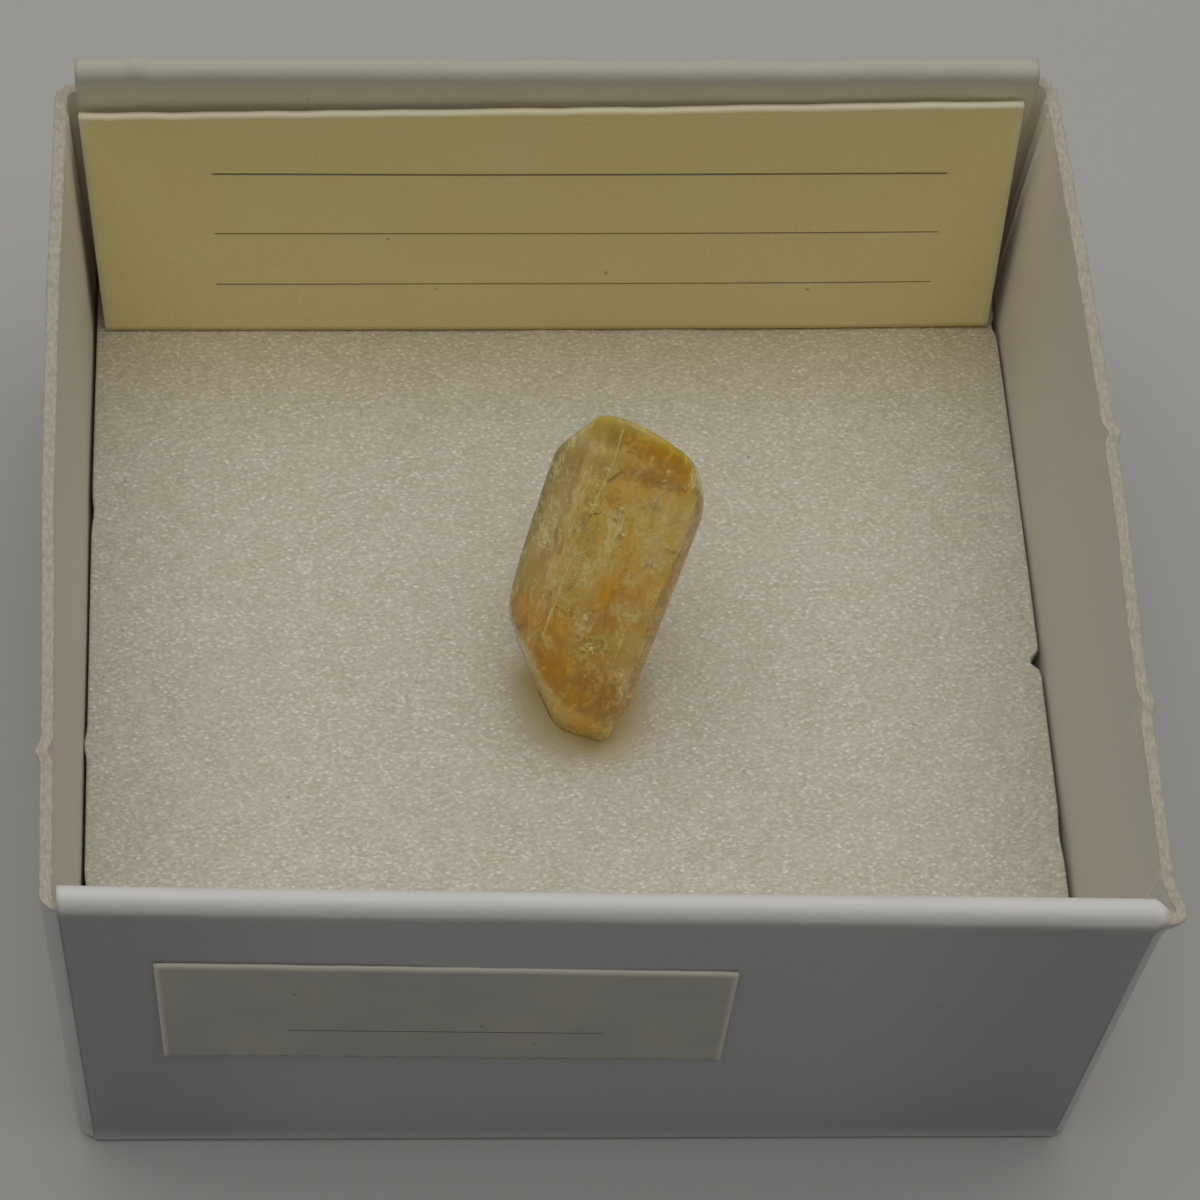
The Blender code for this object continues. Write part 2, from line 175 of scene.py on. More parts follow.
class Paint:
    def __init__(self, name):
        self.material = bpy.data.materials.new(name)
        self.material.use_nodes = True
        self.tree = self.material.node_tree
        self.tree.nodes.clear()
        self.output = self.tree.nodes.new("ShaderNodeOutputMaterial")

    def add(self, kind, settings=None, inputs=None, output=0):
        node = self.tree.nodes.new(kind)
        for key, value in (settings or {}).items():
            setattr(node, key, value)
        for key, value in (inputs or {}).items():
            self.feed(node.inputs[key], value)
        return Wire(self, node.outputs[output])

    def feed(self, socket, value):
        if isinstance(value, Wire):
            self.tree.links.new(value.socket, socket)
        elif socket.type == "RGBA":
            socket.default_value = (*value, 1.0)
        else:
            socket.default_value = value

    def calc(self, operation, *values):
        return self.add("ShaderNodeMath", {"operation": operation}, dict(enumerate(values)))

    def place(self):    # object coordinates
        return self.add("ShaderNodeTexCoord", output="Object")

    def note(self, key):    # a value kept at each point of the mesh
        return self.add("ShaderNodeAttribute", {"attribute_name": key}, output="Fac")

    def noteVector(self, key):
        return self.add("ShaderNodeAttribute", {"attribute_name": key}, output="Vector")

    def split(self, vector):
        node = self.tree.nodes.new("ShaderNodeSeparateXYZ")
        self.feed(node.inputs[0], vector)
        return [Wire(self, socket) for socket in node.outputs]

    def stretch(self, vector, scale, turn=(0, 0, 0)):
        return self.add("ShaderNodeMapping", inputs={"Vector": vector, "Scale": scale, "Rotation": turn})

    def noise(self, vector, size, detail=3.0, warp=0.0):
        inputs = {"Vector": vector, "Scale": 1 / size, "Detail": detail, "Distortion": warp}
        return self.add("ShaderNodeTexNoise", None, inputs)

    def cells(self, vector, size, output="Distance"):
        return self.add("ShaderNodeTexVoronoi", None, {"Vector": vector, "Scale": 1 / size}, output)

    def ease(self, value, low, high):    # 0 at low, 1 at high, smooth between; low may be the larger
        inputs = {"Value": value, "From Min": low, "From Max": high}
        return self.add("ShaderNodeMapRange", {"interpolation_type": "SMOOTHSTEP"}, inputs)

    def blend(self, share, first, second, how="MIX"):    # colours
        settings = {"data_type": "RGBA", "blend_type": how}
        return self.add("ShaderNodeMix", settings, {0: share, 6: first, 7: second}, output=2)

    def spots(self, across, up, places, core):    # round marks, full out to core times their half width
        total = 0.0
        for x, y, reach in places:
            apart = ((across - x * mm) * (across - x * mm) + (up - y * mm) * (up - y * mm)) ** 0.5
            total = total + self.ease(apart, reach * mm, reach * core * mm)
        return total

    def bump(self, height, distance, strength=1.0, normal=None):
        inputs = {"Height": height, "Distance": distance, "Strength": strength}
        if normal:
            inputs["Normal"] = normal
        return self.add("ShaderNodeBump", None, inputs)

    def principled(self, inputs):
        return self.add("ShaderNodeBsdfPrincipled", None, inputs)

    def finish(self, surface, volume=None):
        self.feed(self.output.inputs["Surface"], surface)
        if volume:
            self.feed(self.output.inputs["Volume"], volume)
        return self.material


# Camera: the place, aim and roll that put the box where the photograph has it

view = {
    "place": (-9.9, -72.81, 133.0), "aim": (1.678, 2.712, 5.0), "roll": 6.884,
    "lens": 105.63, "sensor": 36.0, "nearest": 5.0,
}


def makeCamera():
    camera = bpy.data.objects.new("camera", bpy.data.cameras.new("camera"))
    camera.data.lens = view["lens"]
    camera.data.sensor_width = view["sensor"]
    camera.data.clip_start = view["nearest"] * mm
    place = Vector(view["place"]) * mm
    towards = Vector(view["aim"]) * mm - place
    roll = Matrix.Rotation(math.radians(view["roll"]), 3, "Z")
    turned = towards.to_track_quat("-Z", "Y").to_matrix() @ roll
    camera.matrix_world = Matrix.Translation(place) @ turned.to_4x4()
    bpy.context.scene.collection.objects.link(camera)
    bpy.context.scene.camera = camera


makeCamera()
print("camera ready")


# Card tray: one folded blank, single side walls, front and back walls folded double

tray = {
    "width": 40.0, "depth": 39.2, "card": 0.5, "doubleWall": 1.2,
    "baseFold": 0.3, "cornerFold": 0.8, "lapStep": 0.1,
    "frontHeight": 19.05, "backHeight": 20.4, "leftHeight": 18.5, "rightHeight": 19.1,
    "frontPanel": 38.7, "backPanel": 38.2, "panelEnd": 0.03, "sideSquareness": 0.35,
    "flareLeft": (0.25, 0.71), "flareRight": (0.8, 0.64), "bowLeft": 0.2, "bowRight": 0.35,
    "frontLean": 0.98, "frontLeanTwist": 0.32, "backLean": 0.1, "planSkew": 0.4,
    "sideColumns": 400, "panelColumns": 120, "cornerColumns": 16,
}


def flexed(points):
    # flexed card: walls flare and bow with height, the front leans in, the plan is out of square
    x, y, z = points[..., 0], points[..., 1], points[..., 2]
    across = x / (tray["width"] / 2)
    along = y / (tray["depth"] / 2)
    toBack = np.clip((along + 1) / 2, 0, 1)
    up = z / tray["frontHeight"]
    left = x < 0
    nearFlare = np.where(left, tray["flareLeft"][0], tray["flareRight"][0])
    farFlare = np.where(left, tray["flareLeft"][1], tray["flareRight"][1])
    bow = np.where(left, tray["bowLeft"], tray["bowRight"]) * np.sin(np.pi * toBack ** 1.4)
    outward = nearFlare + (farFlare - nearFlare) * toBack + bow * np.abs(across) ** 3
    lean = np.where(along < 0, tray["frontLean"] - tray["frontLeanTwist"] * across, tray["backLean"])
    newX = x + across * outward * up
    newY = y + lean * along ** 2 * up - tray["planSkew"] * across * (1 - toBack)
    return np.stack([newX, newY, z], -1)


def cornerColumns(signX, signY, panel, height, sideHeight):
    # from the panel's end round the fold to the side wall:
    # outer x and y, inner x and y, height, rim rise, rim squareness, 1 on a side wall
    end = panel / 2
    step = tray["panelEnd"]
    fold = tray["cornerFold"]
    halfDepth = tray["depth"] / 2
    lapOuter = halfDepth - tray["lapStep"]
    flatEnd = tray["width"] / 2 - fold
    rise = tray["doubleWall"] / 2
    panelEnd = [end - step, halfDepth, end - step, halfDepth - tray["doubleWall"], height, rise, 1, 0]
    angle = np.radians(np.linspace(90, 0, tray["cornerColumns"] + 1))
    order = np.arange(len(angle))
    outerX = flatEnd + fold * np.cos(angle)
    outerX[0] = min(end + step, flatEnd)
    outerY = lapOuter - fold + fold * np.sin(angle)
    bend = fold - tray["card"]
    innerX = np.maximum(flatEnd + bend * np.cos(angle), end + step * (1 + order * 5 / tray["cornerColumns"]))
    innerY = lapOuter - fold + bend * np.sin(angle)
    same = np.ones_like(angle)
    rim = [sideHeight * same, tray["card"] / 3 * same, tray["sideSquareness"] * same, same]
    columns = np.vstack([panelEnd, np.stack([outerX, outerY, innerX, innerY, *rim], -1)])
    return columns * np.array([signX, signY, signX, signY, 1, 1, 1, 1])


def trayColumns():
    front = (tray["frontPanel"], tray["frontHeight"])
    back = (tray["backPanel"], tray["backHeight"])
    corners = [
        cornerColumns(1, -1, *front, tray["rightHeight"]),
        cornerColumns(1, 1, *back, tray["rightHeight"])[::-1],
        cornerColumns(-1, 1, *back, tray["leftHeight"]),
        cornerColumns(-1, -1, *front, tray["leftHeight"])[::-1],
    ]
    runs = []
    counts = [tray["sideColumns"], tray["panelColumns"]] * 2
    for corner, following, count in zip(corners, corners[1:] + corners[:1], counts):
        share = np.linspace(0, 1, count + 1)[1:-1, None]
        share = share - np.sin(2 * np.pi * share) / (4 * np.pi)    # closer together near the corners
        runs.append(corner)
        runs.append(corner[-1] + (following[0] - corner[-1]) * share)
    return np.vstack(runs)


trayMarks = {
    "ragged": 0.035, "raggedSize": 0.3, "fray": 0.012, "fraySize": 0.16,
    "sideWave": 0.09, "sideWaveSize": 6.0, "backWave": 0.04, "backWaveSize": 1.6,
    "cardWave": 0.05, "cardWaveSize": (9.0, 7.0),    # along the wall and up it
    # nicks and burrs of the side rims: side (-1 left, 1 right), y, height, half length, outward push
    "burrs": [(-1, -12.2, 0.1, 0.35, 0.18), (1, 1.9, 0.12, 0.3, 0.16), (1, -10.2, 0.1, 0.4, 0.12),
              (-1, 8.5, -0.12, 0.5, 0.0), (1, 13.0, -0.1, 0.6, 0.0)],
    "backBurr": (-16.7, 0.14, 0.4),    # on the back rim: x, height, half length
    "dogEar": (1.9, 0.5, 0.35),    # how far along the side it runs, how far it is pushed out, how far down
    # creases inside the side walls: side, end, distance from the panel, how far they stand in, half width
    "creases": [(1, 1, 0.3, 0.09, 0.11), (1, 1, 0.95, 0.1, 0.1), (-1, 1, 0.55, 0.07, 0.14),
                (1, -1, 0.7, 0.05, 0.14), (-1, -1, 0.7, 0.05, 0.14)],
}


def trayShape():
    # each column is an upright section: base, up the outside, over the rim, down the inside, floor
    columns = trayColumns()
    outer, inner = columns[:, 0:2], columns[:, 2:4]
    height, rise, square, side = columns[:, 4], columns[:, 5], columns[:, 6], columns[:, 7]
    inward = unit(inner - outer)
    fold = tray["baseFold"]
    length = np.concatenate([[0], np.cumsum(np.linalg.norm(np.diff(outer, axis=0), axis=1))])

    # the rims of the side walls are cut edges: ragged, wavy and nicked
    rag = roughLattice(length / trayMarks["raggedSize"], length * 0, 5) * trayMarks["ragged"]
    wave = lattice(length / trayMarks["sideWaveSize"], length * 0 + 3.5, 9) * trayMarks["sideWave"]
    height = height + side * (rag + wave)
    push = np.zeros_like(height)
    for sign, y, up, reach, out in trayMarks["burrs"]:
        here = side * (np.sign(outer[:, 0]) == sign) * hump(outer[:, 1], y, reach)
        height = height + here * up
        push = push + here * out
    backX, backUp, backReach = trayMarks["backBurr"]
    behind = (1 - side) * (outer[:, 1] > 0)
    backWave = trayMarks["backWave"] * lattice(length / trayMarks["backWaveSize"], length * 0, 3)
    height = height + behind * (backUp * hump(outer[:, 0], backX, backReach) + backWave)
    earRun, earPush, earDrop = trayMarks["dogEar"]
    fromCorner = outer[:, 1] + tray["depth"] / 2
    ear = side * (outer[:, 0] > 0) * easeStep(earRun, 0, np.abs(fromCorner))
    height = height - ear * earDrop * 0.4
    shoulder = height - rise

    rows, insideRow, rimRow = [], [], []

    def addRow(flat, z, inside, rim):
        rows.append(np.column_stack([flat, np.broadcast_to(z, height.shape)]))
        insideRow.append(inside)
        rimRow.append(rim)

    foldInset = outer + inward * fold
    for share in (0.05, 0.2, 0.4, 0.6, 0.8, 0.93, 1.0):
        addRow(foldInset * share, 0.0, 0, 0)
    for angle in np.radians(np.linspace(15, 90, 6)):
        addRow(outer + inward * fold * (1 - np.sin(angle)), fold * (1 - np.cos(angle)), 0, 0)
    for share in np.append(np.linspace(0, 1, 24)[1:-1], [0.972, 0.988]):
        addRow(outer, fold + (shoulder - fold) * share, 0, 0)
    middle, half = (outer + inner) / 2, (outer - inner) / 2
    for angle in np.linspace(0, np.pi, 15):
        across = np.sign(np.cos(angle)) * np.abs(np.cos(angle)) ** square
        up = shoulder + rise * np.abs(np.sin(angle)) ** square
        addRow(middle + half * across[:, None], up, angle / np.pi, 1)
    for share in np.linspace(1, 0, 25)[1:]:
        addRow(inner, tray["card"] + (shoulder - tray["card"]) * share, 1, 0)
    for share in (0.96, 0.85, 0.7, 0.5, 0.3, 0.1):
        addRow(inner * share, tray["card"], 1, 0)

    rings = np.stack(rows)
    insideRow = np.array(insideRow)[:, None]
    rimRow = np.array(rimRow)[:, None]
    z = rings[..., 2]
    nearRim = easeStep(1.6, 0, height - z)
    outward = -inward[None]
    rings[..., :2] += outward * (push * nearRim)[..., None]

    # the crushed corner at the right of the front bends outward and down
    earHere = ear * easeStep(1.4, 0, height - z)
    rings[..., 0] += earHere * earPush
    rings[..., 1] -= earHere * earPush * 0.4

    # walls are a little wavy, and the side walls carry creases beside each corner on the inside
    waveAlong, waveUp = trayMarks["cardWaveSize"]
    offset = roughLattice(length[None] / waveAlong + 0 * z, z / waveUp, 21, 2)
    offset = offset * trayMarks["cardWave"] * easeStep(0.3, 3, z)
    fromWall = tray["depth"] / 2 - tray["doubleWall"] - np.abs(inner[:, 1])
    # crease lines, kept also for a painted highlight on their crests
    folded = 0 * z
    for sign, toEnd, at, standing, half in trayMarks["creases"]:
        here = side * (np.sign(inner[:, 0]) == sign) * (np.sign(inner[:, 1]) == toEnd)
        wander = 0.12 * lattice(z / 3.5, 0 * z + at * 9, 19)
        line = here * hump(fromWall + wander, at, half) * (insideRow > 0.9) * easeStep(0.5, 1.5, z)
        folded = folded + line
        offset = offset - standing * line
    rings[..., :2] += outward * offset[..., None]
    ringNumber = np.arange(len(rings))[:, None]
    fray = roughLattice(length[None] / trayMarks["fraySize"] + 0 * z, ringNumber / 3 + 0 * z, 31, 2)
    rings[..., :2] += outward * (fray * trayMarks["fray"] * rimRow * side)[..., None]

    rawEdge = rimRow * side * easeStep(0.0, 0.15, insideRow) * easeStep(1.0, 0.85, insideRow)
    front = (1 - side) * (outer[:, 1] < 0) + 0 * z
    # painted shadow: a thin band of shade just under the rolled rim of the front wall
    soiled = front * (insideRow == 0) * hump(height - z, 0.74, 0.15)
    back = (1 - side) * (outer[:, 1] > 0) * insideRow + 0 * z
    # painted light: side walls are lightened towards the back corners, where shade falls
    deepCorner = side * (inner[:, 1] > 0) * insideRow * easeStep(6.0, 0.0, fromWall) + 0 * z
    rolled = np.clip(easeStep(0.85, 0.35, height - z) * (1 - side) + hump(z, 0.12, 0.25), 0, 1)
    rings = flexed(rings)
    poles = flexed(np.array([[0, 0, 0.0], [0, 0, tray["card"]]]))
    shape = closedRings(rings * mm, poles[0] * mm, poles[1] * mm)
    notes = {
        "rawEdge": rawEdge, "inside": insideRow, "rolled": rolled, "folded": folded,
        "front": front, "soiled": soiled, "back": back, "deepCorner": deepCorner,
    }
    for key, values in notes.items():
        notes[key] = ringNotes(np.broadcast_to(values, z.shape), 0, key == "inside")
    return shape, notes


cardLook = {
    # painted shade: the front wall's outside is painted darker, most of all towards its ends
    "coating": (0.66, 0.65, 0.64), "front": (0.45, 0.445, 0.46), "frontEndsShade": (0.36, 0.355, 0.37),
    "inner": (0.74, 0.72, 0.66), "back": (0.82, 0.78, 0.6),
    "core": (0.44, 0.39, 0.29), "fibre": (0.53, 0.49, 0.4),
    # painted shade: the rim colour darkens towards the back
    "frontRim": (0.77, 0.765, 0.75), "backRimShade": (0.53, 0.51, 0.42),
    # painted light and shade: a highlight on crease crests, light in the back corners, a shadow under the
    # front rim's roll
    "folded": (0.82, 0.79, 0.7), "deepCorner": (0.97, 0.92, 0.78), "soiled": (0.5, 0.46, 0.33),
    "smudge": (0.3, 0.29, 0.28), "roughness": 0.55,
    # smudges of the front wall: x, z, half width
    "smudges": [(-17.3, 2.3, 0.35), (-15.1, 1.2, 0.22), (1.9, 2.2, 0.2), (12.6, 3.3, 0.25), (13, 12, 0.3)],
}


def cardFinish():
    paint = Paint("white folding card")
    where = paint.place()
    x, y, z = paint.split(where)
    mottle = paint.noise(where, 2.4 * mm, 4)
    fibre = paint.noise(paint.stretch(where, (1, 0.35, 0.5)), 0.11 * mm, 4)
    # painted shade: the front wall's outside takes a darker coat, darkest towards its ends
    outside = paint.blend(paint.note("front"), cardLook["coating"], cardLook["front"])
    ends = paint.ease(x.calc("ABSOLUTE"), 9 * mm, 18 * mm) * paint.note("front")
    outside = paint.blend(ends, outside, cardLook["frontEndsShade"])
    within = paint.blend(paint.note("back"), cardLook["inner"], cardLook["back"])
    # painted light: side walls are lightened towards the back corners, where shade falls
    within = paint.blend(paint.note("deepCorner"), within, cardLook["deepCorner"])
    colour = paint.blend(paint.note("inside"), outside, within)
    # painted shade: the rim is painted darker towards the back
    rim = paint.blend(paint.ease(y, -5 * mm, 5 * mm), cardLook["frontRim"], cardLook["backRimShade"])
    colour = paint.blend(paint.note("rolled"), colour, rim)
    # painted highlight: the crease crests are painted lighter
    colour = paint.blend(paint.note("folded") * 0.6, colour, cardLook["folded"])
    # painted shadow under the front rim's roll
    soiled = paint.note("soiled") * paint.ease(mottle, 0.3, 0.65) * 0.6
    colour = paint.blend(soiled, colour, cardLook["soiled"])
    colour = paint.blend(mottle * 0.1, colour, (0.6, 0.58, 0.54))
    speck = paint.cells(where, 1.1 * mm)
    speckTone = paint.ease(speck, 0.1, 0.04) * paint.ease(paint.noise(where, 3.1 * mm, 1), 0.6, 0.66)
    colour = paint.blend(speckTone * 0.35, colour, cardLook["smudge"])
    stain = paint.spots(x, z, cardLook["smudges"], 0.2)
    stain = stain * paint.ease(y, -18.0 * mm, -18.5 * mm) * paint.ease(mottle, 0.25, 0.6)
    colour = paint.blend(stain * 0.28, colour, cardLook["smudge"])
    core = paint.blend(paint.ease(fibre, 0.4, 0.62), cardLook["core"], cardLook["fibre"])
    raw = paint.ease(paint.note("rawEdge") + (fibre - 0.5) * 0.6, 0.25, 0.8) * 0.9
    colour = paint.blend(raw, colour, core)
    rough = cardLook["roughness"] + raw * 0.3 + (mottle - 0.5) * 0.12
    tooth = paint.bump(fibre + paint.noise(where, 0.035 * mm, 2) * 0.4, 0.012 * mm, 0.6)
    dents = paint.bump(paint.noise(where, 1.3 * mm, 2), 0.03 * mm, 0.5, tooth)
    return paint.finish(paint.principled({"Base Color": colour, "Roughness": rough, "Normal": dents}))


def makeTray():
    (points, quads, triangles), notes = trayShape()
    piece = newPiece("cardTray", points, quads, triangles, cardFinish(), notes)
    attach(piece, "root")
    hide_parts("card_tray")
    print("tray:", len(quads), "cells")


makeTray()


# Topaz: a worn, striated prism. Own frame in mm: x across, y away from the camera, w up its axis

topaz = {
    "foot": (-0.87, -4.31, 7.24), "lean": 38.0, "turn": -27.2, "spin": 9.35,
    "top": 13.9, "bottom": -1.6, "taper": 0.032,
    "coreLow": 0.6, "coreHigh": 10.6, "coreShift": 1.25,    # the middle line: its ends, its bend at the foot
    "corners": [(-3.38, 0.3), (-1.25, -2.12), (0.9, -2.35), (2.75, -1.4),
                (3.3, 0.1), (2.45, 2.0), (-0.2, 2.5), (-2.4, 1.7)],
    "roundness": 20, "columns": 340, "sideRows": 186, "capRows": 36, "swell": 0.03,
    "girthRadius": 3.0, "ledge": 0.012, "ledgeWidth": 0.75, "ledgeLength": 5.5,
    "ridge": 0.004, "ridgeWidth": 0.24, "ridgeLength": 3.2, "grain": 0.003, "etch": 0.03, "etchSize": 0.5,
    # chips and dents: x, y, w, reach, depth
    "chips": [(2.8, -1.0, 12.7, 0.5, 0.2), (3.05, 0.0, 10.9, 0.4, 0.12), (1.3, -2.2, 13.8, 0.38, 0.1),
              (-1.15, -2.1, 11.3, 0.35, 0.12), (-3.2, 0.0, 8.6, 0.5, 0.1), (0.4, -2.3, 6.2, 0.3, 0.07),
              (2.6, -1.3, 6.6, 0.45, 0.08), (-1.9, -1.6, 5.9, 0.3, 0.08),
              (2.3, 1.6, 9.4, 0.6, 0.14), (-1.3, 2.2, 7.1, 0.7, 0.16), (0.6, 2.4, 3.8, 0.5, 0.14)],
}


def crystalTurn():    # columns are the crystal's x, y and axis in the box's frame
    lean = Matrix.Rotation(-math.radians(topaz["lean"]), 3, "X")
    turn = Matrix.Rotation(math.radians(topaz["turn"]), 3, "Z")
    return np.array(turn @ lean @ Matrix.Rotation(math.radians(topaz["spin"]), 3, "Z"))


def toBox(local):    # from the crystal's own frame to the box's, both in mm
    return np.array(topaz["foot"]) + local @ crystalTurn().T


def crystalPlanes():
    # (point, outward normal) of each face: the prism's sides, then the faces that close its ends
    top, bottom = topaz["top"], topaz["bottom"]
    sides = []
    corners = topaz["corners"]
    for (startX, startY), (endX, endY) in zip(corners, corners[1:] + corners[:1]):
        normal = unit((endY - startY, startX - endX))
        sides.append(((startX, startY, top), (normal[0], normal[1], -topaz["taper"] * max(normal[0], 0))))
    ends = [
        ((0.6, -2.3, top + 0.06), (0.24, 0.45, 1.0)), ((-0.9, -2.1, top + 0.25), (-0.05, 0.42, 1.0)),
        ((2.42, -1.55, top - 0.82), (0.85, 0.25, 0.55)), ((2.95, 0.0, top - 2.5), (0.9, 0.05, 0.5)),
        ((2.85, -1.1, top - 1.7), (0.8, -0.55, 0.3)), ((-2.3, -0.92, top - 0.82), (-0.84, 0.25, 0.6)),
        ((-0.6, 2.3, top - 1.9), (-0.1, 0.8, 0.6)),
        ((0.0, 0.0, 0.3), (-1.2, -0.6, -1.0)), ((-2.9, -0.4, 4.1), (-1.0, -0.3, -0.22)),
        ((1.2, 0.0, -0.08), (0.0, -0.83, -1.0)), ((0.3, 0.0, 0.05), (-0.7, -0.8, -1.0)),
        ((2.75, 0.0, 1.4), (0.95, -0.05, -0.3)), ((0.6, 2.3, 1.4), (-0.1, 0.86, -0.5)),
        ((1.2, 0.0, bottom), (0.15, 0.1, -1.0)),
    ]
    return sides + ends


def crystalReach(core, heading, planes=None):
    # how far the rounded solid reaches from core along heading:
    # 1 / reach is the high-power mean of facing / room, face by face
    power = topaz["roundness"]
    total = 0
    for point, normal in planes or crystalPlanes():
        normal = unit(normal)
        room = (np.array(point) - core) @ normal
        total = total + np.maximum((heading @ normal) / room, 0) ** power
    return total ** (-1 / power)


def coreAt(height):    # a point of the middle line
    shift = topaz["coreShift"] * (1 - easeStep(0.5, 4.5, height))
    return np.stack([shift, 0 * height, height], -1)


def capsule():
    # rays that leave the middle line: level along it, fanned out past its ends
    low, high, capRows, columns = topaz["coreLow"], topaz["coreHigh"], topaz["capRows"], topaz["columns"]
    fan = np.linspace(0, 90, capRows + 1)[1:-1]
    tilt = np.concatenate([np.linspace(-90, 0, capRows + 1)[1:-1], np.zeros(topaz["sideRows"]), fan])
    side = np.linspace(low, high, topaz["sideRows"])
    height = np.concatenate([np.full(len(fan), low), side, np.full(len(fan), high)])
    tilt = np.radians(tilt)[:, None]
    around = (np.arange(columns) / columns * 2 * np.pi)[None]
    level = np.cos(tilt)
    heading = np.stack([level * np.cos(around), level * np.sin(around), np.sin(tilt) + 0 * around], -1)
    core = coreAt(height)[:, None] + 0 * heading
    return core, heading, around + 0 * tilt


def striations(around, along):
    # terraces: random waves drawn out along the axis and cut into steps, with finer ridges on top
    girth = around * topaz["girthRadius"]
    waves = roughLattice(girth / topaz["ledgeWidth"], along / topaz["ledgeLength"] + girth * 0.05, 41, 2)
    steps = waves * 3
    level = np.floor(steps)
    terrace = (level + easeStep(0.2, 0.8, steps - level)) / 3
    ridges = lattice(girth / topaz["ridgeWidth"], along / topaz["ridgeLength"], 57)
    ridges = ridges + 0.4 * lattice(girth / 0.11, along / 2.1, 63)
    grain = lattice(girth / 0.16, along / 0.22, 71)
    return terrace * topaz["ledge"] + ridges * topaz["ridge"] + grain * topaz["grain"]


def crystalShape():
    core, heading, around = capsule()
    reach = crystalReach(core, heading)
    local = core + heading * reach[..., None]
    along = local[..., 2]
    level = np.abs(heading[..., 2])
    prism = easeStep(0.75, 0.25, level) * easeStep(-0.6, 0.6, along) * easeStep(14.5, 13.8, along)
    facet = easeStep(0.3, 0.9, along + 1.2 * local[..., 0] + 0.6 * local[..., 1] - 0.28)
    relief = striations(around, along) * prism * (0.25 + 0.75 * facet)
    flat = local[..., :2] / topaz["etchSize"]
    etched = roughLattice(flat[..., 0] + 7, flat[..., 1], 83, 3) * topaz["etch"] * (1 - prism)
    chips = 0
    for x, y, w, chipReach, depth in topaz["chips"]:
        apart = np.linalg.norm(local - np.array([x, y, w]), axis=-1)
        edge = apart / chipReach + 0.18 * lattice(local[..., 0] * 4, local[..., 2] * 4, 91)
        chips = chips - depth * easeStep(1.0, 0.35, edge)
    return local + heading * (relief + etched + chips + topaz["swell"])[..., None]


def makeTopaz():
    local = crystalShape()
    lowCore = np.array([topaz["coreShift"], 0, topaz["coreLow"]])
    highCore = np.array([0, 0, topaz["coreHigh"]])
    lowPole = lowCore - [0, 0, crystalReach(lowCore, np.array([0, 0, -1.0])) + topaz["swell"]]
    highPole = highCore + [0, 0, crystalReach(highCore, np.array([0, 0, 1.0])) + topaz["swell"]]
    points, quads, triangles = closedRings(local, lowPole, highPole)
    level = points[:, 2] + (points[:, 1] + topazLook["front"]) * topazLook["slant"]
    # painted glints: bright spots on the front at the flake clusters, kept as a note
    paintedGlint = 0
    for x, height in innerLook["glints"]:
        paintedGlint = paintedGlint + hump(np.hypot(points[:, 0] - x, level - height), 0, 0.17) * (points[:, 1] < 0)
    notes = {"grown": points, "paintedGlint": np.clip(paintedGlint, 0, 1)}
    piece = newPiece("topazCrystal", toBox(points) * mm, quads, triangles, topazFinish(), notes)
    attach(piece, "root")
    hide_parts("topaz_crystal")
    print("topaz:", len(quads) * 2 + len(triangles), "triangles")


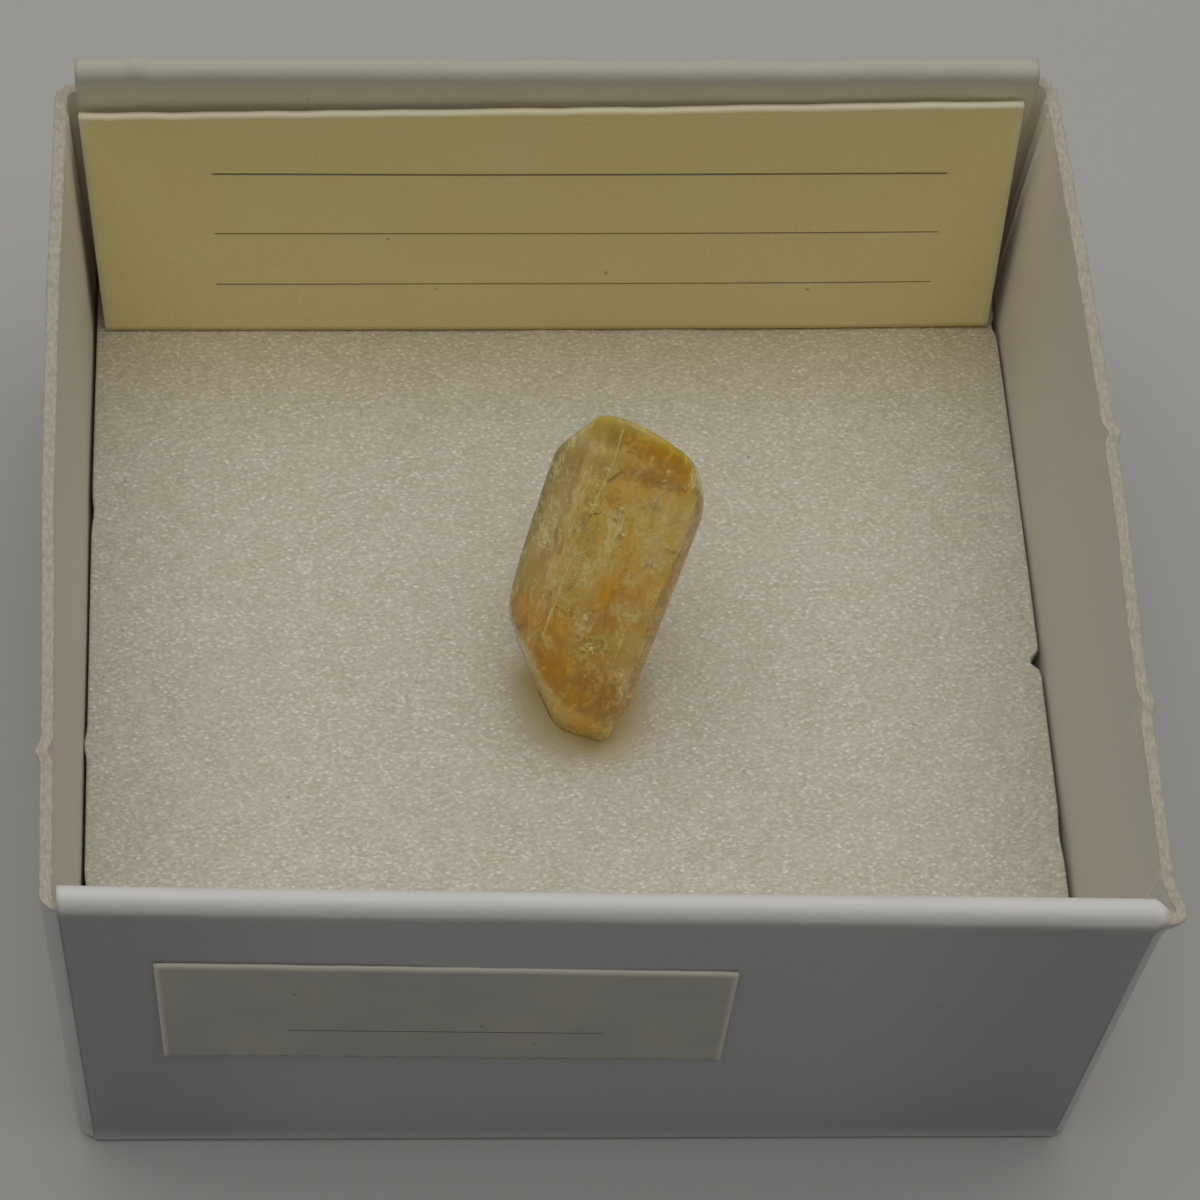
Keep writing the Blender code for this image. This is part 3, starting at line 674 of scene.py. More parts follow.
topazLook = {
    "index": 1.6, "absorb": (0.99, 0.86, 0.34), "density": 240.0, "roughness": 0.1,
    "waxy": (1.0, 0.83, 0.38), "honey": (0.93, 0.71, 0.22), "pale": (1.0, 0.9, 0.54),
    # the last colour here lightens milky veils and also paints the highlights on a prism edge and at the
    # glints
    "stain": (0.99, 0.55, 0.03), "amber": (0.96, 0.67, 0.12), "veilAndHighlight": (1.0, 0.95, 0.68),
    "crack": (0.3, 0.22, 0.09), "milk": (1.0, 0.89, 0.46),
    # stains run through on a slant: the front face's depth, and the rise for each mm behind it
    "front": 2.2, "slant": 0.377,
    # stained zones: x, height on the front face, half width, half height, strength
    "stains": [(0.9, 12.9, 1.6, 0.5, 0.5), (0.68, 7.4, 0.55, 0.9, 0.9), (0.4, 6.5, 0.5, 0.6, 0.6),
               (-2.3, 5.2, 0.7, 0.8, 0.7), (-1, 4.9, 0.9, 0.6, 0.8), (-0.4, 3.4, 0.7, 0.9, 0.9),
               (0.75, 2.3, 0.6, 0.7, 1), (1.4, 1.4, 0.7, 0.6, 1), (0.9, 13.5, 1.7, 0.5, 0.7),
               (2.1, 12.5, 0.5, 0.7, 0.6), (0.2, 11.7, 0.9, 0.4, 0.35), (0.6, 9.3, 0.2, 1.3, 0.5),
               (2.1, 8.2, 0.7, 0.35, 0.4), (2.1, 6, 0.6, 0.25, 0.35)],
    # paler, clearer zones
    "windows": [(1.55, 11.2, 0.6, 0.7, 0.8), (1.6, 9.3, 0.7, 0.8, 0.8), (2.7, 10.6, 0.4, 1.3, 0.7),
                (-2.5, 9.5, 0.5, 1.7, 0.7), (-2.8, 7.9, 0.4, 0.7, 0.6), (1.6, 6.6, 0.6, 0.6, 0.5),
                (1.9, 4.1, 0.7, 0.8, 0.9), (2.3, 5.3, 0.5, 0.7, 0.6), (-1.8, 3.1, 0.6, 0.6, 0.7),
                (-0.7, 1.9, 0.6, 0.6, 0.7)],
    # milky veils near the surface
    "milks": [(0, 9.3, 0.36, 1.3, 1), (-0.5, 7.4, 0.45, 0.6, 0.8), (-1.2, 8.3, 0.6, 0.3, 0.6),
              (1.7, 10.6, 0.4, 0.5, 0.5), (0.1, 5.5, 0.35, 0.5, 0.7), (2.3, 12.8, 0.25, 0.5, 0.9),
              (0.2, 7.9, 0.5, 0.3, 0.5), (2.4, 3.4, 0.3, 0.9, 0.5)],
    # painted highlight along a prism edge, and dark cracks: from x and height, to x and height, half width
    "edgeHighlights": [(-0.93, 13.7, -0.88, 12.3, 0.05), (-0.88, 12.3, -1.09, 10, 0.06),
                  (-1.25, 7.9, -1.33, 4.5, 0.07)],
    "cracks": [(-0.87, 11.41, -0.47, 12.06, 0.06), (0.69, 6.54, 0.9, 5.6, 0.03), (-0.65, 6, -0.5, 5.6, 0.03)],
}


def zoneMask(paint, x, w, zones, wobble):    # soft ovals across the crystal, their edges moved by a wobble
    total = 0.0
    for zoneX, zoneW, wide, tall, strength in zones:
        across = (x - zoneX) * (1 / wide)
        along = (w - zoneW) * (1 / tall)
        total = total + paint.ease(across * across + along * along + wobble, 1.4, 0.0) * strength
    return total.calc("MINIMUM", 1.0)


def lineMask(paint, x, w, lines):    # straight strokes, full in the middle, none past their half width
    total = 0.0
    for startX, startW, endX, endW, half in lines:
        runX, runW = endX - startX, endW - startW
        share = ((x - startX) * runX + (w - startW) * runW) * (1 / (runX * runX + runW * runW))
        share = share.calc("MAXIMUM", 0.0).calc("MINIMUM", 1.0)
        offX = x - startX - share * runX
        offW = w - startW - share * runW
        total = total + paint.ease((offX * offX + offW * offW) ** 0.5, half, half * 0.25)
    return total.calc("MINIMUM", 1.0)


def topazFinish():
    paint = Paint("topaz")
    grown = paint.noteVector("grown")
    x, y, w = paint.split(grown)
    level = w + (y + topazLook["front"]) * topazLook["slant"]
    facing = paint.ease(y, 0.6, -0.4)
    wobble = (paint.noise(grown, 0.5, 4, 0.6) - 0.5) * 2.4
    stain = zoneMask(paint, x, level, topazLook["stains"], wobble)
    window = zoneMask(paint, x, level, topazLook["windows"], wobble)
    milk = zoneMask(paint, x, level, topazLook["milks"], wobble) * facing
    cloud = paint.noise(paint.stretch(grown, (1.0, 1.0, 0.6)), 0.75, 4, 1.0)
    patch = paint.noise(grown, 0.32, 3, 1.2)
    streak = paint.noise(paint.stretch(grown, (1.0, 1.0, 0.1)), 0.2, 2)
    shifted = x + (patch - 0.5) * 0.12
    # painted highlight along a prism edge
    edge = lineMask(paint, shifted, level, topazLook["edgeHighlights"]) * facing * paint.ease(streak, 0.3, 0.45)
    crack = lineMask(paint, shifted, level, topazLook["cracks"]) * facing
    colour = paint.blend(paint.ease(cloud, 0.36, 0.6), topazLook["honey"], topazLook["waxy"])
    paler = (paint.ease(patch, 0.42, 0.62) * 0.35 + window * 0.45).calc("MINIMUM", 1.0)
    colour = paint.blend(paler, colour, topazLook["pale"])
    # painted light: the left flank is painted paler, and made waxier, to lift the shade on that side
    litFlank = paint.ease(x, -1.0, -1.9) * paint.ease(level, 5.0, 7.0)
    colour = paint.blend(litFlank * 0.35, colour, topazLook["pale"])
    colour = paint.blend(paint.ease(level, 6.5, 2.5) * 0.65, colour, topazLook["amber"])
    colour = paint.blend(paint.ease(w, 12.2, 13.4) * 0.85, colour, topazLook["amber"])
    colour = paint.blend(stain, colour, topazLook["stain"])
    thread = paint.ease(paint.noise(paint.stretch(grown, (1.0, 1.0, 0.3)), 0.14, 2, 0.5), 0.42, 0.62)
    # painted glints
    paintedGlint = paint.note("paintedGlint") * paint.ease(paint.noise(grown, 0.17, 1, 0.3), 0.52, 0.6)
    # lighter where the stone has milky veils and pale streaks, plus painted highlights along a prism edge and
    # at the glints
    bright = paint.ease(streak, 0.6, 0.7) * 0.08 + milk * (0.2 + thread * 0.75) + edge * 0.55 + paintedGlint * 0.6
    bright = bright.calc("MINIMUM", 1.0)
    colour = paint.blend(bright * 0.8, colour, topazLook["veilAndHighlight"])
    colour = paint.blend(crack, colour, topazLook["crack"])
    scratch = paint.bump(streak, 0.004 * mm, 0.5)
    pitted = paint.bump(paint.noise(grown, 0.22, 3), 0.018 * mm, 0.6, scratch)
    topEdge = paint.ease(w, 13.0, 13.9)
    topBand = paint.ease(level, 11.9, 12.9)
    glass = paint.principled({
        "Base Color": colour, "Roughness": topazLook["roughness"] + (cloud - 0.5) * 0.1 + topEdge * 0.3,
        "IOR": topazLook["index"], "Transmission Weight": 1.0, "Normal": pitted,
    })
    # its milk colour also carries the painted highlights
    wax = paint.principled({
        "Base Color": paint.blend(bright, colour, topazLook["milk"]), "Roughness": 0.34 + topEdge * 0.3,
        "IOR": topazLook["index"], "Normal": pitted,
        "Subsurface Weight": 1.0, "Subsurface Radius": (1.0, 0.6, 0.2), "Subsurface Scale": 2.5 * mm,
    })
    murk = paint.ease(cloud, 0.42, 0.62) * paint.ease(patch, 0.4, 0.6)
    milky = 0.1 + stain * 0.16 + murk * 0.34 + window * 0.18 + litFlank * 0.14
    milky = milky + bright * 0.45 + paintedGlint * 0.5 + crack * 0.6
    milky = milky + topBand * 0.26 + paint.ease(level, 3.2, 0.8) * 0.26
    milky = milky.calc("MAXIMUM", 0.04).calc("MINIMUM", 0.9)
    surface = paint.add("ShaderNodeMixShader", None, {0: milky, 1: glass, 2: wax})
    absorbing = {"Color": topazLook["absorb"], "Density": topazLook["density"]}
    return paint.finish(surface, paint.add("ShaderNodeVolumeAbsorption", None, absorbing))


# Inside the crystal: wavy veils along the axis and small bright flakes

innerLook = {
    # veils: x, y, low end, high end, width, turn in degrees, seed
    "veils": [(-1.1, -1.35, 3.6, 11.6, 1.1, 20, 3), (0.8, -1.2, 2.4, 9.2, 1.0, 60, 8),
              (1.9, -0.6, 5.0, 11.0, 1.3, -30, 13), (-2.0, -0.3, 5.0, 10.6, 1.2, 75, 21),
              (0.3, 0.3, 1.2, 10.8, 2.2, 5, 34), (-0.6, 1.1, 3.5, 11.2, 1.8, -20, 45)],
    "veil": (0.95, 0.78, 0.45), "veilPale": (0.95, 0.9, 0.7), "veilGrid": (14, 60), "veilMargin": 0.2,
    "flake": (1.0, 0.93, 0.72), "flakeWarm": (1.0, 0.8, 0.45), "flakes": 90, "flakeSize": (0.07, 0.19),
    "flakeGrid": (5, 7), "flakeMargin": 0.16, "flakeEnds": (1.2, 12.2),
    "flakeFacing": (-0.13, -0.46, 0.89),    # in the box's frame: the way most flakes lie
    "clusterSize": 8, "clusterSpread": (0.13, 0.06, 0.2), "clusterY": -1.98, "clusterDrop": 0.08,
    # where the clusters are: x, height on the front face
    "glints": [(-1.76, 11.68), (1.15, 12.7), (1.09, 11.29), (-1.32, 9.29), (-0.56, 7.34), (-1.85, 5.99),
               (0.13, 5.76), (-0.05, 5.13), (0.98, 7.42), (2.3, 3.2), (2.1, 3.98), (-0.03, 10.53),
               (-0.88, 11.9), (-1.1, 10.3), (0.6, 4.6), (2.2, 12.3), (-2.5, 8.1), (0.35, 9.6), (1.9, 8.7)],
}


def insideCrystal(points, margin):    # draws in what lies outside, or nearer the skin than margin
    core = coreAt(np.clip(points[:, 2], topaz["coreLow"], topaz["coreHigh"]))
    away = points - core
    apart = np.linalg.norm(away, axis=1, keepdims=True) + 1e-9
    room = crystalReach(core, away / apart)[:, None] - margin
    return core + away * np.minimum(1, room / apart)


def veilSheets():
    # each veil is a sheet drawn along the axis, bowed by random waves across and along it
    allPoints, allQuads = [], []
    across, along = innerLook["veilGrid"]
    for x, y, low, high, wide, turn, seed in innerLook["veils"]:
        u, v = np.meshgrid(np.linspace(-0.5, 0.5, across), np.linspace(0, 1, along))
        bow = 0.28 * roughLattice(u * 2 + 5, v * 4, seed) + 0.12 * roughLattice(u * 6, v * 13, seed + 7)
        taper = wide * (0.35 + 0.65 * np.sin(np.pi * np.clip(v, 0.02, 0.98)) ** 0.6)
        side, out = np.cos(math.radians(turn)), np.sin(math.radians(turn))
        px = x + u * taper * side - bow * out
        py = y + u * taper * out + bow * side
        points = np.stack([px, py, low + (high - low) * v + 0.2 * u], -1).reshape(-1, 3)
        points = insideCrystal(points, innerLook["veilMargin"])
        allQuads.append(gridFaces(along, across, False, sum(len(p) for p in allPoints)))
        allPoints.append(points)
    return np.vstack(allPoints), np.vstack(allQuads)


def veilFinish():
    paint = Paint("healed veils")
    grown = paint.noteVector("grown")
    thread = paint.noise(paint.stretch(grown, (1.0, 1.0, 0.12)), 0.12, 4, 0.3)
    patch = paint.noise(grown, 0.9, 3)
    cover = paint.ease(thread, 0.5, 0.68) * paint.ease(patch, 0.4, 0.62)
    colour = paint.blend(paint.ease(patch, 0.45, 0.6), innerLook["veil"], innerLook["veilPale"])
    return paint.finish(paint.principled({"Base Color": colour, "Roughness": 0.3, "Alpha": cover * 0.75}))


def flakeDiscs():
    # small curved lozenges, in clusters just under the front and strewn through the rest
    rng = np.random.default_rng(17)
    clusters = np.repeat(np.array(innerLook["glints"]), innerLook["clusterSize"], 0)
    spread = rng.normal(0, 1, (len(clusters), 3)) * innerLook["clusterSpread"]
    depth = np.full(len(clusters), innerLook["clusterY"])
    near = np.column_stack([clusters[:, 0], depth, clusters[:, 1] - innerLook["clusterDrop"]]) + spread
    count = innerLook["flakes"]
    height = rng.uniform(*innerLook["flakeEnds"], count)
    around = rng.uniform(0, 2 * np.pi, count)
    heading = np.stack([np.cos(around), np.sin(around), 0 * around], -1)
    core = coreAt(height)
    out = crystalReach(core, heading) * rng.uniform(0.45, 0.92, count)
    centre = insideCrystal(np.vstack([near, core + heading * out[:, None]]), innerLook["flakeMargin"])
    total = len(centre)
    size = rng.uniform(*innerLook["flakeSize"], total) * rng.uniform(0.5, 1, total)
    third = unit(np.array(innerLook["flakeFacing"]) @ crystalTurn() + rng.normal(0, 0.15, (total, 3)))
    first = unit(np.cross(third, rng.normal(0, 1, (total, 3)) + [1.5, 0, 0]))
    second = np.cross(third, first)
    columns, rows = innerLook["flakeGrid"]
    u, v = np.meshgrid(np.linspace(-1, 1, columns), np.linspace(-1, 1, rows))
    thin = np.sqrt(np.clip(1 - v ** 2, 0.03, 1))
    lozenge = np.stack([v * 1.6, u * thin * 0.5, 0.15 * (u ** 2 + v ** 2)], -1).reshape(-1, 3)
    frames = np.stack([first, second, third], 1)
    points = (centre[:, None] + (lozenge @ frames) * size[:, None, None]).reshape(-1, 3)
    starts = np.arange(total)[:, None, None] * (rows * columns)
    quads = (gridFaces(rows, columns, False)[None] + starts).reshape(-1, 4)
    return points, quads


def flakeFinish():
    paint = Paint("bright flakes")
    grown = paint.noteVector("grown")
    tone = paint.blend(paint.noise(grown, 0.4, 1), innerLook["flake"], innerLook["flakeWarm"])
    mirror = paint.ease(paint.noise(grown, 0.35, 1), 0.45, 0.55) * 0.9
    inputs = {"Base Color": tone, "Roughness": 0.45 - mirror * 0.25, "Metallic": mirror}
    return paint.finish(paint.principled(inputs))


def makeInside():
    empty = np.zeros((0, 3), int)
    points, quads = veilSheets()
    veils = newPiece("healedVeils", toBox(points) * mm, quads, empty, veilFinish(), {"grown": points})
    points, quads = flakeDiscs()
    flakes = newPiece("brightFlakes", toBox(points) * mm, quads, empty, flakeFinish(), {"grown": points})
    for piece in (veils, flakes):
        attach(piece, "root")
    print("inside:", innerLook["flakes"], "flakes")


makeTopaz()
makeInside()


# Foam pad: a cut square with the pocket that the crystal has pressed into it

foam = {
    "top": 7.0, "bottom": 0.7, "sideGap": 0.13, "edge": 0.12, "columns": 480, "rings": 96,
    "pocketGap": 0.04, "pocketFloor": 5.75, "lipDrop": 0.18, "lipReach": 0.65,
    "swell": 0.05, "swellAt": 1.7, "swellWidth": 0.7, "waviness": 0.06, "waveSize": 5.0,
    "pressedReach": (1.7, 0.25),    # from the pocket: unmarked past the first, fully pressed by the second
    # marks of the cut edge: x, y, reach, how far it stands out (or in, below zero)
    "edgeMarks": [(-19.4, -5.2, 0.45, 0.12), (19.4, -1.4, 0.3, -0.45), (19.5, 16.9, 0.35, 0.1),
                  (19.5, 15.4, 0.3, -0.22), (-19.4, 6, 0.6, -0.08), (-19.4, -12, 0.5, -0.1),
                  (19.4, -9.5, 0.8, -0.08)],
}


def squareOutline(columns, halfX, halfY):    # points evenly spaced round the square, its corners included
    share = np.arange(columns) / columns * 4
    side = np.floor(share).astype(int)
    along = share - side
    cornerX = np.array([-1, 1, 1, -1, -1.0])
    cornerY = np.array([-1, -1, 1, 1, -1.0])
    x = cornerX[side] + (cornerX[side + 1] - cornerX[side]) * along
    y = cornerY[side] + (cornerY[side + 1] - cornerY[side]) * along
    return np.stack([x * halfX, y * halfY], -1)


def boxPlanes():    # the crystal's faces in the box's frame
    turn = crystalTurn()
    return [(toBox(np.array(point)), turn @ np.array(normal)) for point, normal in crystalPlanes()]


def foamShape():
    halfX = tray["width"] / 2 - tray["card"] - foam["sideGap"]
    halfY = tray["depth"] / 2 - tray["doubleWall"] - foam["sideGap"]
    outline = squareOutline(foam["columns"], halfX, halfY)
    for x, y, markReach, out in foam["edgeMarks"]:
        here = hump(np.hypot(outline[:, 0] - x, outline[:, 1] - y), 0, markReach)
        outline[:, 0] += np.sign(x) * out * here
    planes = boxPlanes()
    skin = toBox(crystalShape().reshape(-1, 3))

    def middle(z):    # the middle of the crystal at this height
        band = skin[np.abs(skin[:, 2] - z) < 0.08]
        return np.append((band.min(0) + band.max(0))[:2] / 2, z)

    heading = np.column_stack([unit(outline - middle(foam["top"])[:2]), np.zeros(len(outline))])

    def pocketRing(z, grown):    # the crystal's outline at this height, let out by grown
        centre = middle(z)
        reach = crystalReach(centre + 0 * heading, heading, planes)
        return centre + heading * (reach + grown)[:, None]

    mouth = pocketRing(foam["top"] - foam["lipDrop"] * 0.7, foam["pocketGap"])
    rings, pressed = [], []
    for inset in (0.3, 0.6, 0.85, 1.0):
        rings.append(np.column_stack([outline * inset, np.full(len(outline), foam["bottom"])]))
        pressed.append(0)
    for z in np.linspace(foam["bottom"], foam["top"] - foam["edge"], 14)[1:]:
        rings.append(np.column_stack([outline, np.full(len(outline), z)]))
        pressed.append(0)
    for angle in np.radians(np.linspace(0, 90, 6)[1:]):
        inset = unit(outline) * foam["edge"] * (1 - np.cos(angle))
        z = foam["top"] - foam["edge"] * (1 - np.sin(angle))
        rings.append(np.column_stack([outline - inset, np.full(len(outline), z)]))
        pressed.append(0)
    rim = rings[-1][:, :2]
    for share in (1 - np.linspace(0, 1, foam["rings"])[1:]) ** 1.9:
        flat = mouth[:, :2] + (rim - mouth[:, :2]) * share
        apart = np.linalg.norm(flat - mouth[:, :2], axis=1)
        drop = foam["lipDrop"] * np.exp(-(apart / foam["lipReach"]) ** 1.5)
        swell = foam["swell"] * hump(apart, foam["swellAt"], foam["swellWidth"])
        wave = roughLattice(flat[:, 0] / foam["waveSize"] + 9, flat[:, 1] / foam["waveSize"] + 4, 12, 2)
        wave = wave * foam["waviness"] * easeStep(0, 3, apart)
        rings.append(np.column_stack([flat, foam["top"] - drop + swell + wave]))
        # the zone by the pocket is smoothed, and the finish also darkens it as painted shade
        pressed.append(easeStep(*foam["pressedReach"], apart))
    for z in np.linspace(foam["top"] - foam["lipDrop"], foam["pocketFloor"], 9)[1:]:
        rings.append(pocketRing(z, foam["pocketGap"]))
        pressed.append(1)
    rings = np.stack(rings)
    pressed = np.stack([np.broadcast_to(value, len(outline)) for value in pressed])
    lastCentre = rings[-1].mean(0) - [0, 0, 0.1]
    points, quads, triangles = closedRings(rings, np.array([0, 0, foam["bottom"]]), lastCentre)
    return flexed(points), quads, triangles, {"pressed": ringNotes(pressed, 0, 1)}


foamLook = {
    "ground": (0.54, 0.51, 0.4), "patch": (0.58, 0.55, 0.45), "grain": (0.74, 0.71, 0.6),
    # painted light and shade: glint dots, shade round the crystal's foot, shade and reflected light towards
    # the back
    "paintedGlintDot": (0.96, 0.94, 0.86), "pressed": (0.64, 0.585, 0.33), "backShadeTint": (0.9, 0.83, 0.64),
    "dirt": (0.16, 0.13, 0.1), "cellSize": 0.27,
    # specks of dirt: x, y, half width
    "specks": [(8.2, 8.56, 0.09), (-11.49, -7.48, 0.08), (-3.1, 11.2, 0.05), (14.2, -11.5, 0.05)],
}


def foamFinish():
    paint = Paint("white packing foam")
    where = paint.place()
    slanted = paint.stretch(where, (1.0, 1.6, 1.0), (0, 0, math.radians(-22)))
    cell = paint.cells(slanted, foamLook["cellSize"] * mm)
    cellTone = paint.split(paint.cells(slanted, foamLook["cellSize"] * mm, "Color"))[0]
    wrinkle = paint.noise(slanted, 0.2 * mm, 2, 0.4)
    patch = paint.noise(where, 1.2 * mm, 3)
    # painted highlights: the foam cells' glints are painted as light dashes and dots
    dash = paint.ease(wrinkle, 0.5, 0.68)
    paintedGlintDot = paint.ease(cell, 0.5, 0.12) * paint.ease(cellTone, 0.15, 0.9)
    bumpy = 1 - paint.note("pressed")
    paintedSparkle = ((dash * 0.3 + paintedGlintDot * 0.62) * bumpy).calc("MINIMUM", 1.0)
    colour = paint.blend(paint.ease(patch, 0.35, 0.65), foamLook["ground"], foamLook["patch"])
    grain = paint.ease(paint.noise(slanted, 0.26 * mm, 2), 0.42, 0.62)
    colour = paint.blend(grain * bumpy * 0.45, colour, foamLook["grain"])
    colour = paint.blend(paintedSparkle, colour, foamLook["paintedGlintDot"])
    # painted shade: the pressed zone round the crystal's foot is tinted olive, for its shade and the amber
    # light through the crystal
    colour = paint.blend((1 - bumpy) * 0.8, colour, foamLook["pressed"])
    x, y = paint.split(where)[:2]
    # painted shade and painted reflected light: the foam darkens and yellows towards the back, under the
    # label
    colour = paint.blend(paint.ease(y, 9 * mm, 16 * mm) * 0.8, colour, foamLook["backShadeTint"], "MULTIPLY")
    dirt = paint.spots(x, y, foamLook["specks"], 0.4)
    colour = paint.blend(dirt * 0.75, colour, foamLook["dirt"])
    relief = ((1 - cell) * 0.4 + wrinkle * 1.1) * (0.1 + bumpy * 0.9)
    normal = paint.bump(relief, 0.09 * mm, 0.8)
    surface = paint.principled({
        "Base Color": colour, "Roughness": 0.32 + bumpy * 0.08 - paintedSparkle * 0.12, "Normal": normal,
        "Subsurface Weight": 0.2, "Subsurface Radius": (1.0, 0.9, 0.7), "Subsurface Scale": 0.6 * mm,
    })
    return paint.finish(surface)


def makeFoam():
    points, quads, triangles, notes = foamShape()
    piece = newPiece("foamPad", points * mm, quads, triangles, foamFinish(), notes)
    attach(piece, "root")
    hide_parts("foam_pad")
    print("foam:", len(quads), "cells")


makeFoam()


# Labels: a cream card leaning on the back wall, and a paper slip stuck to the front wall

cardLabel = {
    "halfWidth": 19.25, "leftSlant": 0.5, "leftLength": 11.55, "rightLength": 12.2, "thickness": 0.3,
    "lean": -13.5, "footY": 15.25, "restGap": 0.15, "bow": 0.1,
    "paper": (0.89, 0.755, 0.33), "edge": (0.92, 0.88, 0.68), "ink": (0.1, 0.085, 0.08),
    # ruled lines: height, left, right, half thickness
    "rules": [(8.6, -14.5, 16.5, 0.07), (5.4, -14.5, 16.5, 0.045), (2.6, -14.5, 16.5, 0.045)],
    "dashes": [],
}
paperLabel = {
    "left": -16.15, "right": 5.0, "bottom": 7.8, "top": 15.0, "drop": 0.2, "thickness": 0.12, "gap": 0.04,
    # painted shade: the slip's paper colour is darkened to the front wall's shade
    "paper": (0.45, 0.435, 0.385), "edge": (0.92, 0.88, 0.72), "ink": (0.08, 0.075, 0.07),
    "rules": [(2.2, -11.5, 0.5, 0.05)],
    "dashes": [(7.1, 0.05), (0.1, 0.05)],    # dashed lines: height, half thickness
}


def cardLabelShape():
    # a sheet bowed a little across, tilted back on its foot; u and v run over its face in mm
    points, quads = thinSheet(cardLabel["thickness"], 130, 60)
    share, up, z = points[:, 0] + 0.5, points[:, 1], points[:, 2]
    length = cardLabel["leftLength"] + (cardLabel["rightLength"] - cardLabel["leftLength"]) * share
    x = points[:, 0] * 2 * cardLabel["halfWidth"] - cardLabel["leftSlant"] * up * (1 - share)
    length = length + 0.03 * lattice(share * 30, share * 0, 4) * easeStep(0.9, 1, up)
    bow = cardLabel["bow"] * (1 - (2 * points[:, 0]) ** 2) + 0.03 * lattice(share * 5, up * 3, 6)
    local = np.stack([x, z - bow, length * up], -1)
    lean = np.array(Matrix.Rotation(math.radians(cardLabel["lean"]), 3, "X"))
    foot = np.array([0.0, cardLabel["footY"], foam["top"] + cardLabel["restGap"]])
    edge = np.maximum(easeStep(0.985, 1.0, up), easeStep(0.497, 0.5, np.abs(points[:, 0])))
    return foot + local @ lean.T, quads, {"cutEdge": edge, "sheetX": x, "sheetUp": length * up}


def paperLabelShape():
    points, quads = thinSheet(paperLabel["thickness"], 90, 40)
    width = paperLabel["right"] - paperLabel["left"]
    length = paperLabel["top"] - paperLabel["bottom"]
    x = (paperLabel["left"] + paperLabel["right"]) / 2 + points[:, 0] * width
    y = -tray["depth"] / 2 - paperLabel["gap"] - paperLabel["thickness"] + points[:, 2]
    y = y - 0.03 * easeStep(0.47, 0.5, np.abs(points[:, 0])) * (points[:, 1] > 0.5)
    up = points[:, 1] * length + 0.02 * lattice(points[:, 0] * 24, points[:, 1] * 0, 8)
    z = paperLabel["bottom"] + up - paperLabel["drop"] * (points[:, 0] + 0.5)
    edge = np.maximum(easeStep(0.955, 0.99, points[:, 1]), easeStep(0.497, 0.5, np.abs(points[:, 0])))
    return flexed(np.stack([x, y, z], -1)), quads, {"cutEdge": edge, "sheetX": x, "sheetUp": up}


def sheetFinish(name, look):    # paper with fibres, a lighter cut edge, ruled and dashed lines
    paint = Paint(name)
    where = paint.place()
    x, up = paint.note("sheetX"), paint.note("sheetUp")
    fibre = paint.noise(where, 0.09 * mm, 4)
    cloud = paint.noise(where, 3.0 * mm, 3)
    colour = paint.blend((cloud - 0.4) * 0.35, look["paper"], look["edge"])
    colour = paint.blend(paint.ease(fibre, 0.35, 0.75) * 0.1, colour, (0.2, 0.17, 0.12))
    speck = paint.ease(paint.cells(where, 1.7 * mm), 0.07, 0.03) * paint.ease(cloud, 0.5, 0.6)
    colour = paint.blend(speck * 0.5, colour, look["ink"])
    ink = 0.0
    for height, left, right, half in look["rules"]:
        line = paint.ease((up - height).calc("ABSOLUTE"), half, half * 0.4)
        ink = ink + line * paint.ease(x, left, left + 0.15) * paint.ease(x, right, right - 0.15)
    for height, half in look["dashes"]:
        line = paint.ease((up - height).calc("ABSOLUTE"), half, half * 0.3)
        gaps = paint.noise(paint.stretch(where, (1, 0, 0)), 0.8 * mm, 2)
        ink = ink + line * paint.ease(gaps, 0.52, 0.6) * 0.6
    ink = (ink * (0.75 + fibre * 0.5)).calc("MINIMUM", 1.0)
    colour = paint.blend(ink * 0.85, colour, look["ink"])
    colour = paint.blend(paint.note("cutEdge") * 0.8, colour, look["edge"])
    normal = paint.bump(fibre, 0.012 * mm, 0.6)
    surface = paint.principled({"Base Color": colour, "Roughness": 0.62 - ink * 0.1, "Normal": normal})
    return paint.finish(surface)


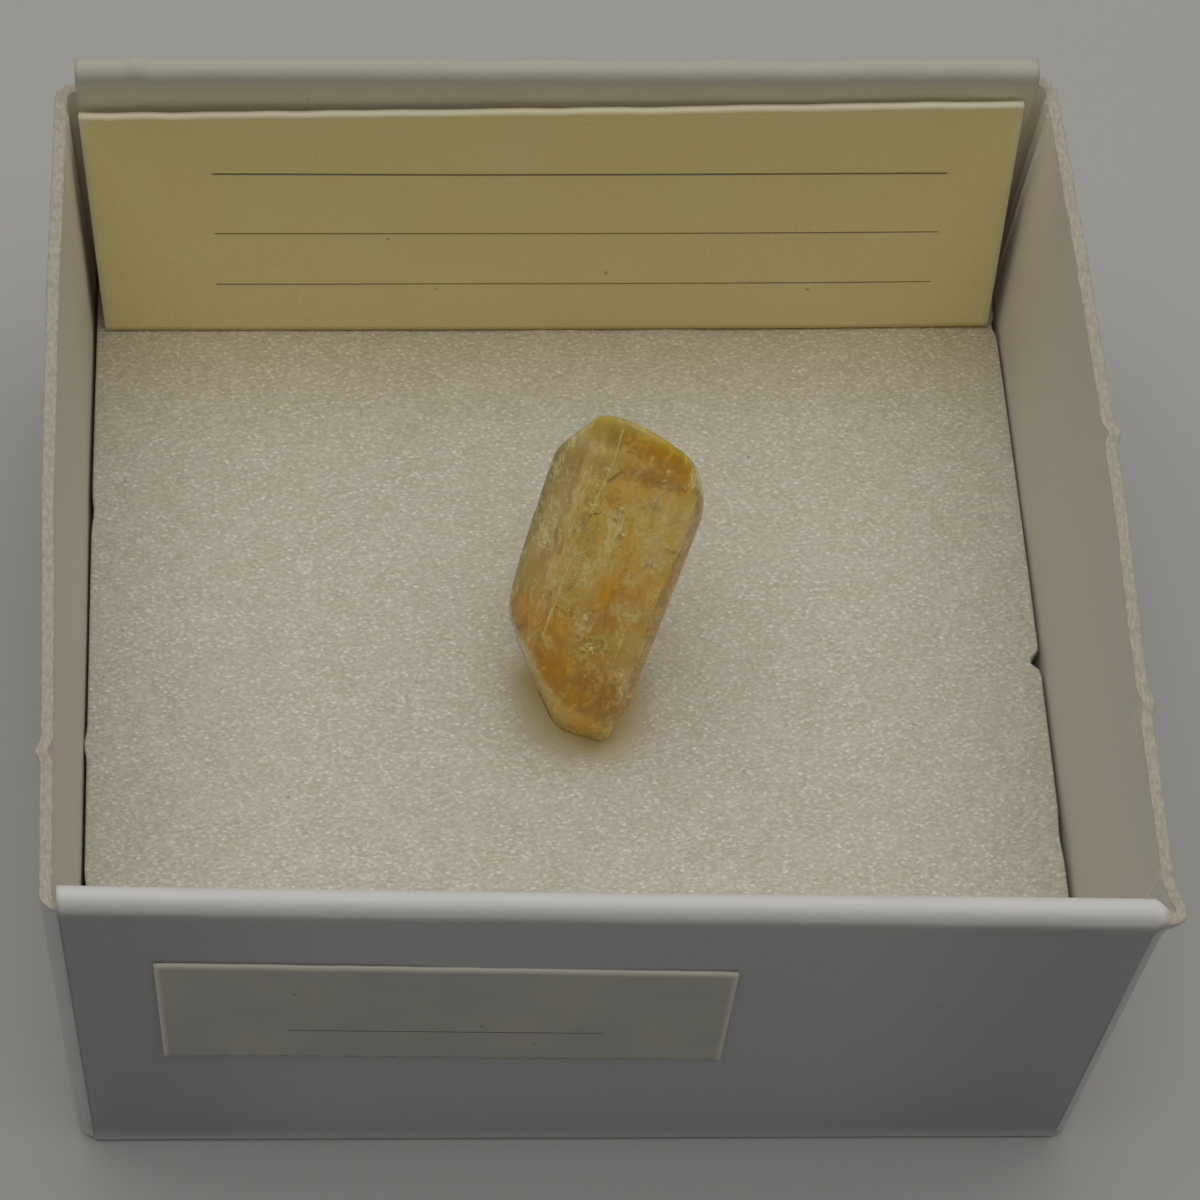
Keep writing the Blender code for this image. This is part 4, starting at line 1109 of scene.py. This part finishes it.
def makeLabels():
    empty = np.zeros((0, 3), int)
    points, quads, notes = cardLabelShape()
    finish = sheetFinish("cream card", cardLabel)
    card = newPiece("specimenLabel", points * mm, quads, empty, finish, notes)
    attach(card, "root")
    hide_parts("specimen_label")
    points, quads, notes = paperLabelShape()
    finish = sheetFinish("off-white paper", paperLabel)
    slip = newPiece("numberLabel", points * mm, quads, empty, finish, notes)
    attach(slip, "root")
    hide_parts("number_label")
    print("labels ready")


makeLabels()


# Floor and soft studio light

studio = {
    # in metres: the floor's half width and how far it lies under the box, the key's size, place and aim
    "floor": (0.5, 0.5, 0.49), "half": 0.6, "floorDrop": 0.00005, "floorPoints": 25, "fill": 0.12,
    "key": 1.05, "keySize": 0.6, "keyPlace": (0.0, 0.075, 0.36), "keyAim": (0.0, 0.0, 0.008),
    "keyColour": (1.0, 0.985, 0.955),
}


def makeFloor():
    count = studio["floorPoints"]
    u, v = np.meshgrid(np.linspace(-1, 1, count), np.linspace(-1, 1, count))
    level = np.full_like(u, -studio["floorDrop"])
    points = np.stack([u * studio["half"], v * studio["half"], level], -1).reshape(-1, 3)
    paint = Paint("pale floor")
    tone = paint.blend(paint.noise(paint.place(), 40 * mm, 3) * 0.2, studio["floor"], (0.45, 0.45, 0.45))
    finish = paint.finish(paint.principled({"Base Color": tone, "Roughness": 0.8}))
    newPiece("floor", points, gridFaces(count, count, False), np.zeros((0, 3), int), finish)


def makeKey():    # one soft disc overhead, aimed at the box
    lamp = bpy.data.lights.new("key", "AREA")
    lamp.shape = "DISK"
    lamp.size = studio["keySize"]
    lamp.energy = studio["key"]
    lamp.color = studio["keyColour"]
    holder = bpy.data.objects.new("key", lamp)
    holder.location = studio["keyPlace"]
    towards = Vector(studio["keyAim"]) - Vector(studio["keyPlace"])
    holder.rotation_euler = towards.to_track_quat("-Z", "Y").to_euler()
    bpy.context.scene.collection.objects.link(holder)


def makeStudio():
    makeFloor()
    world = bpy.data.worlds.new("studio")
    world.use_nodes = True
    world.node_tree.nodes["Background"].inputs["Color"].default_value = (1, 1, 1, 1)
    world.node_tree.nodes["Background"].inputs["Strength"].default_value = studio["fill"]
    bpy.context.scene.world = world
    makeKey()
    bpy.context.scene.view_settings.view_transform = "Standard"
    print("studio ready")


makeStudio()
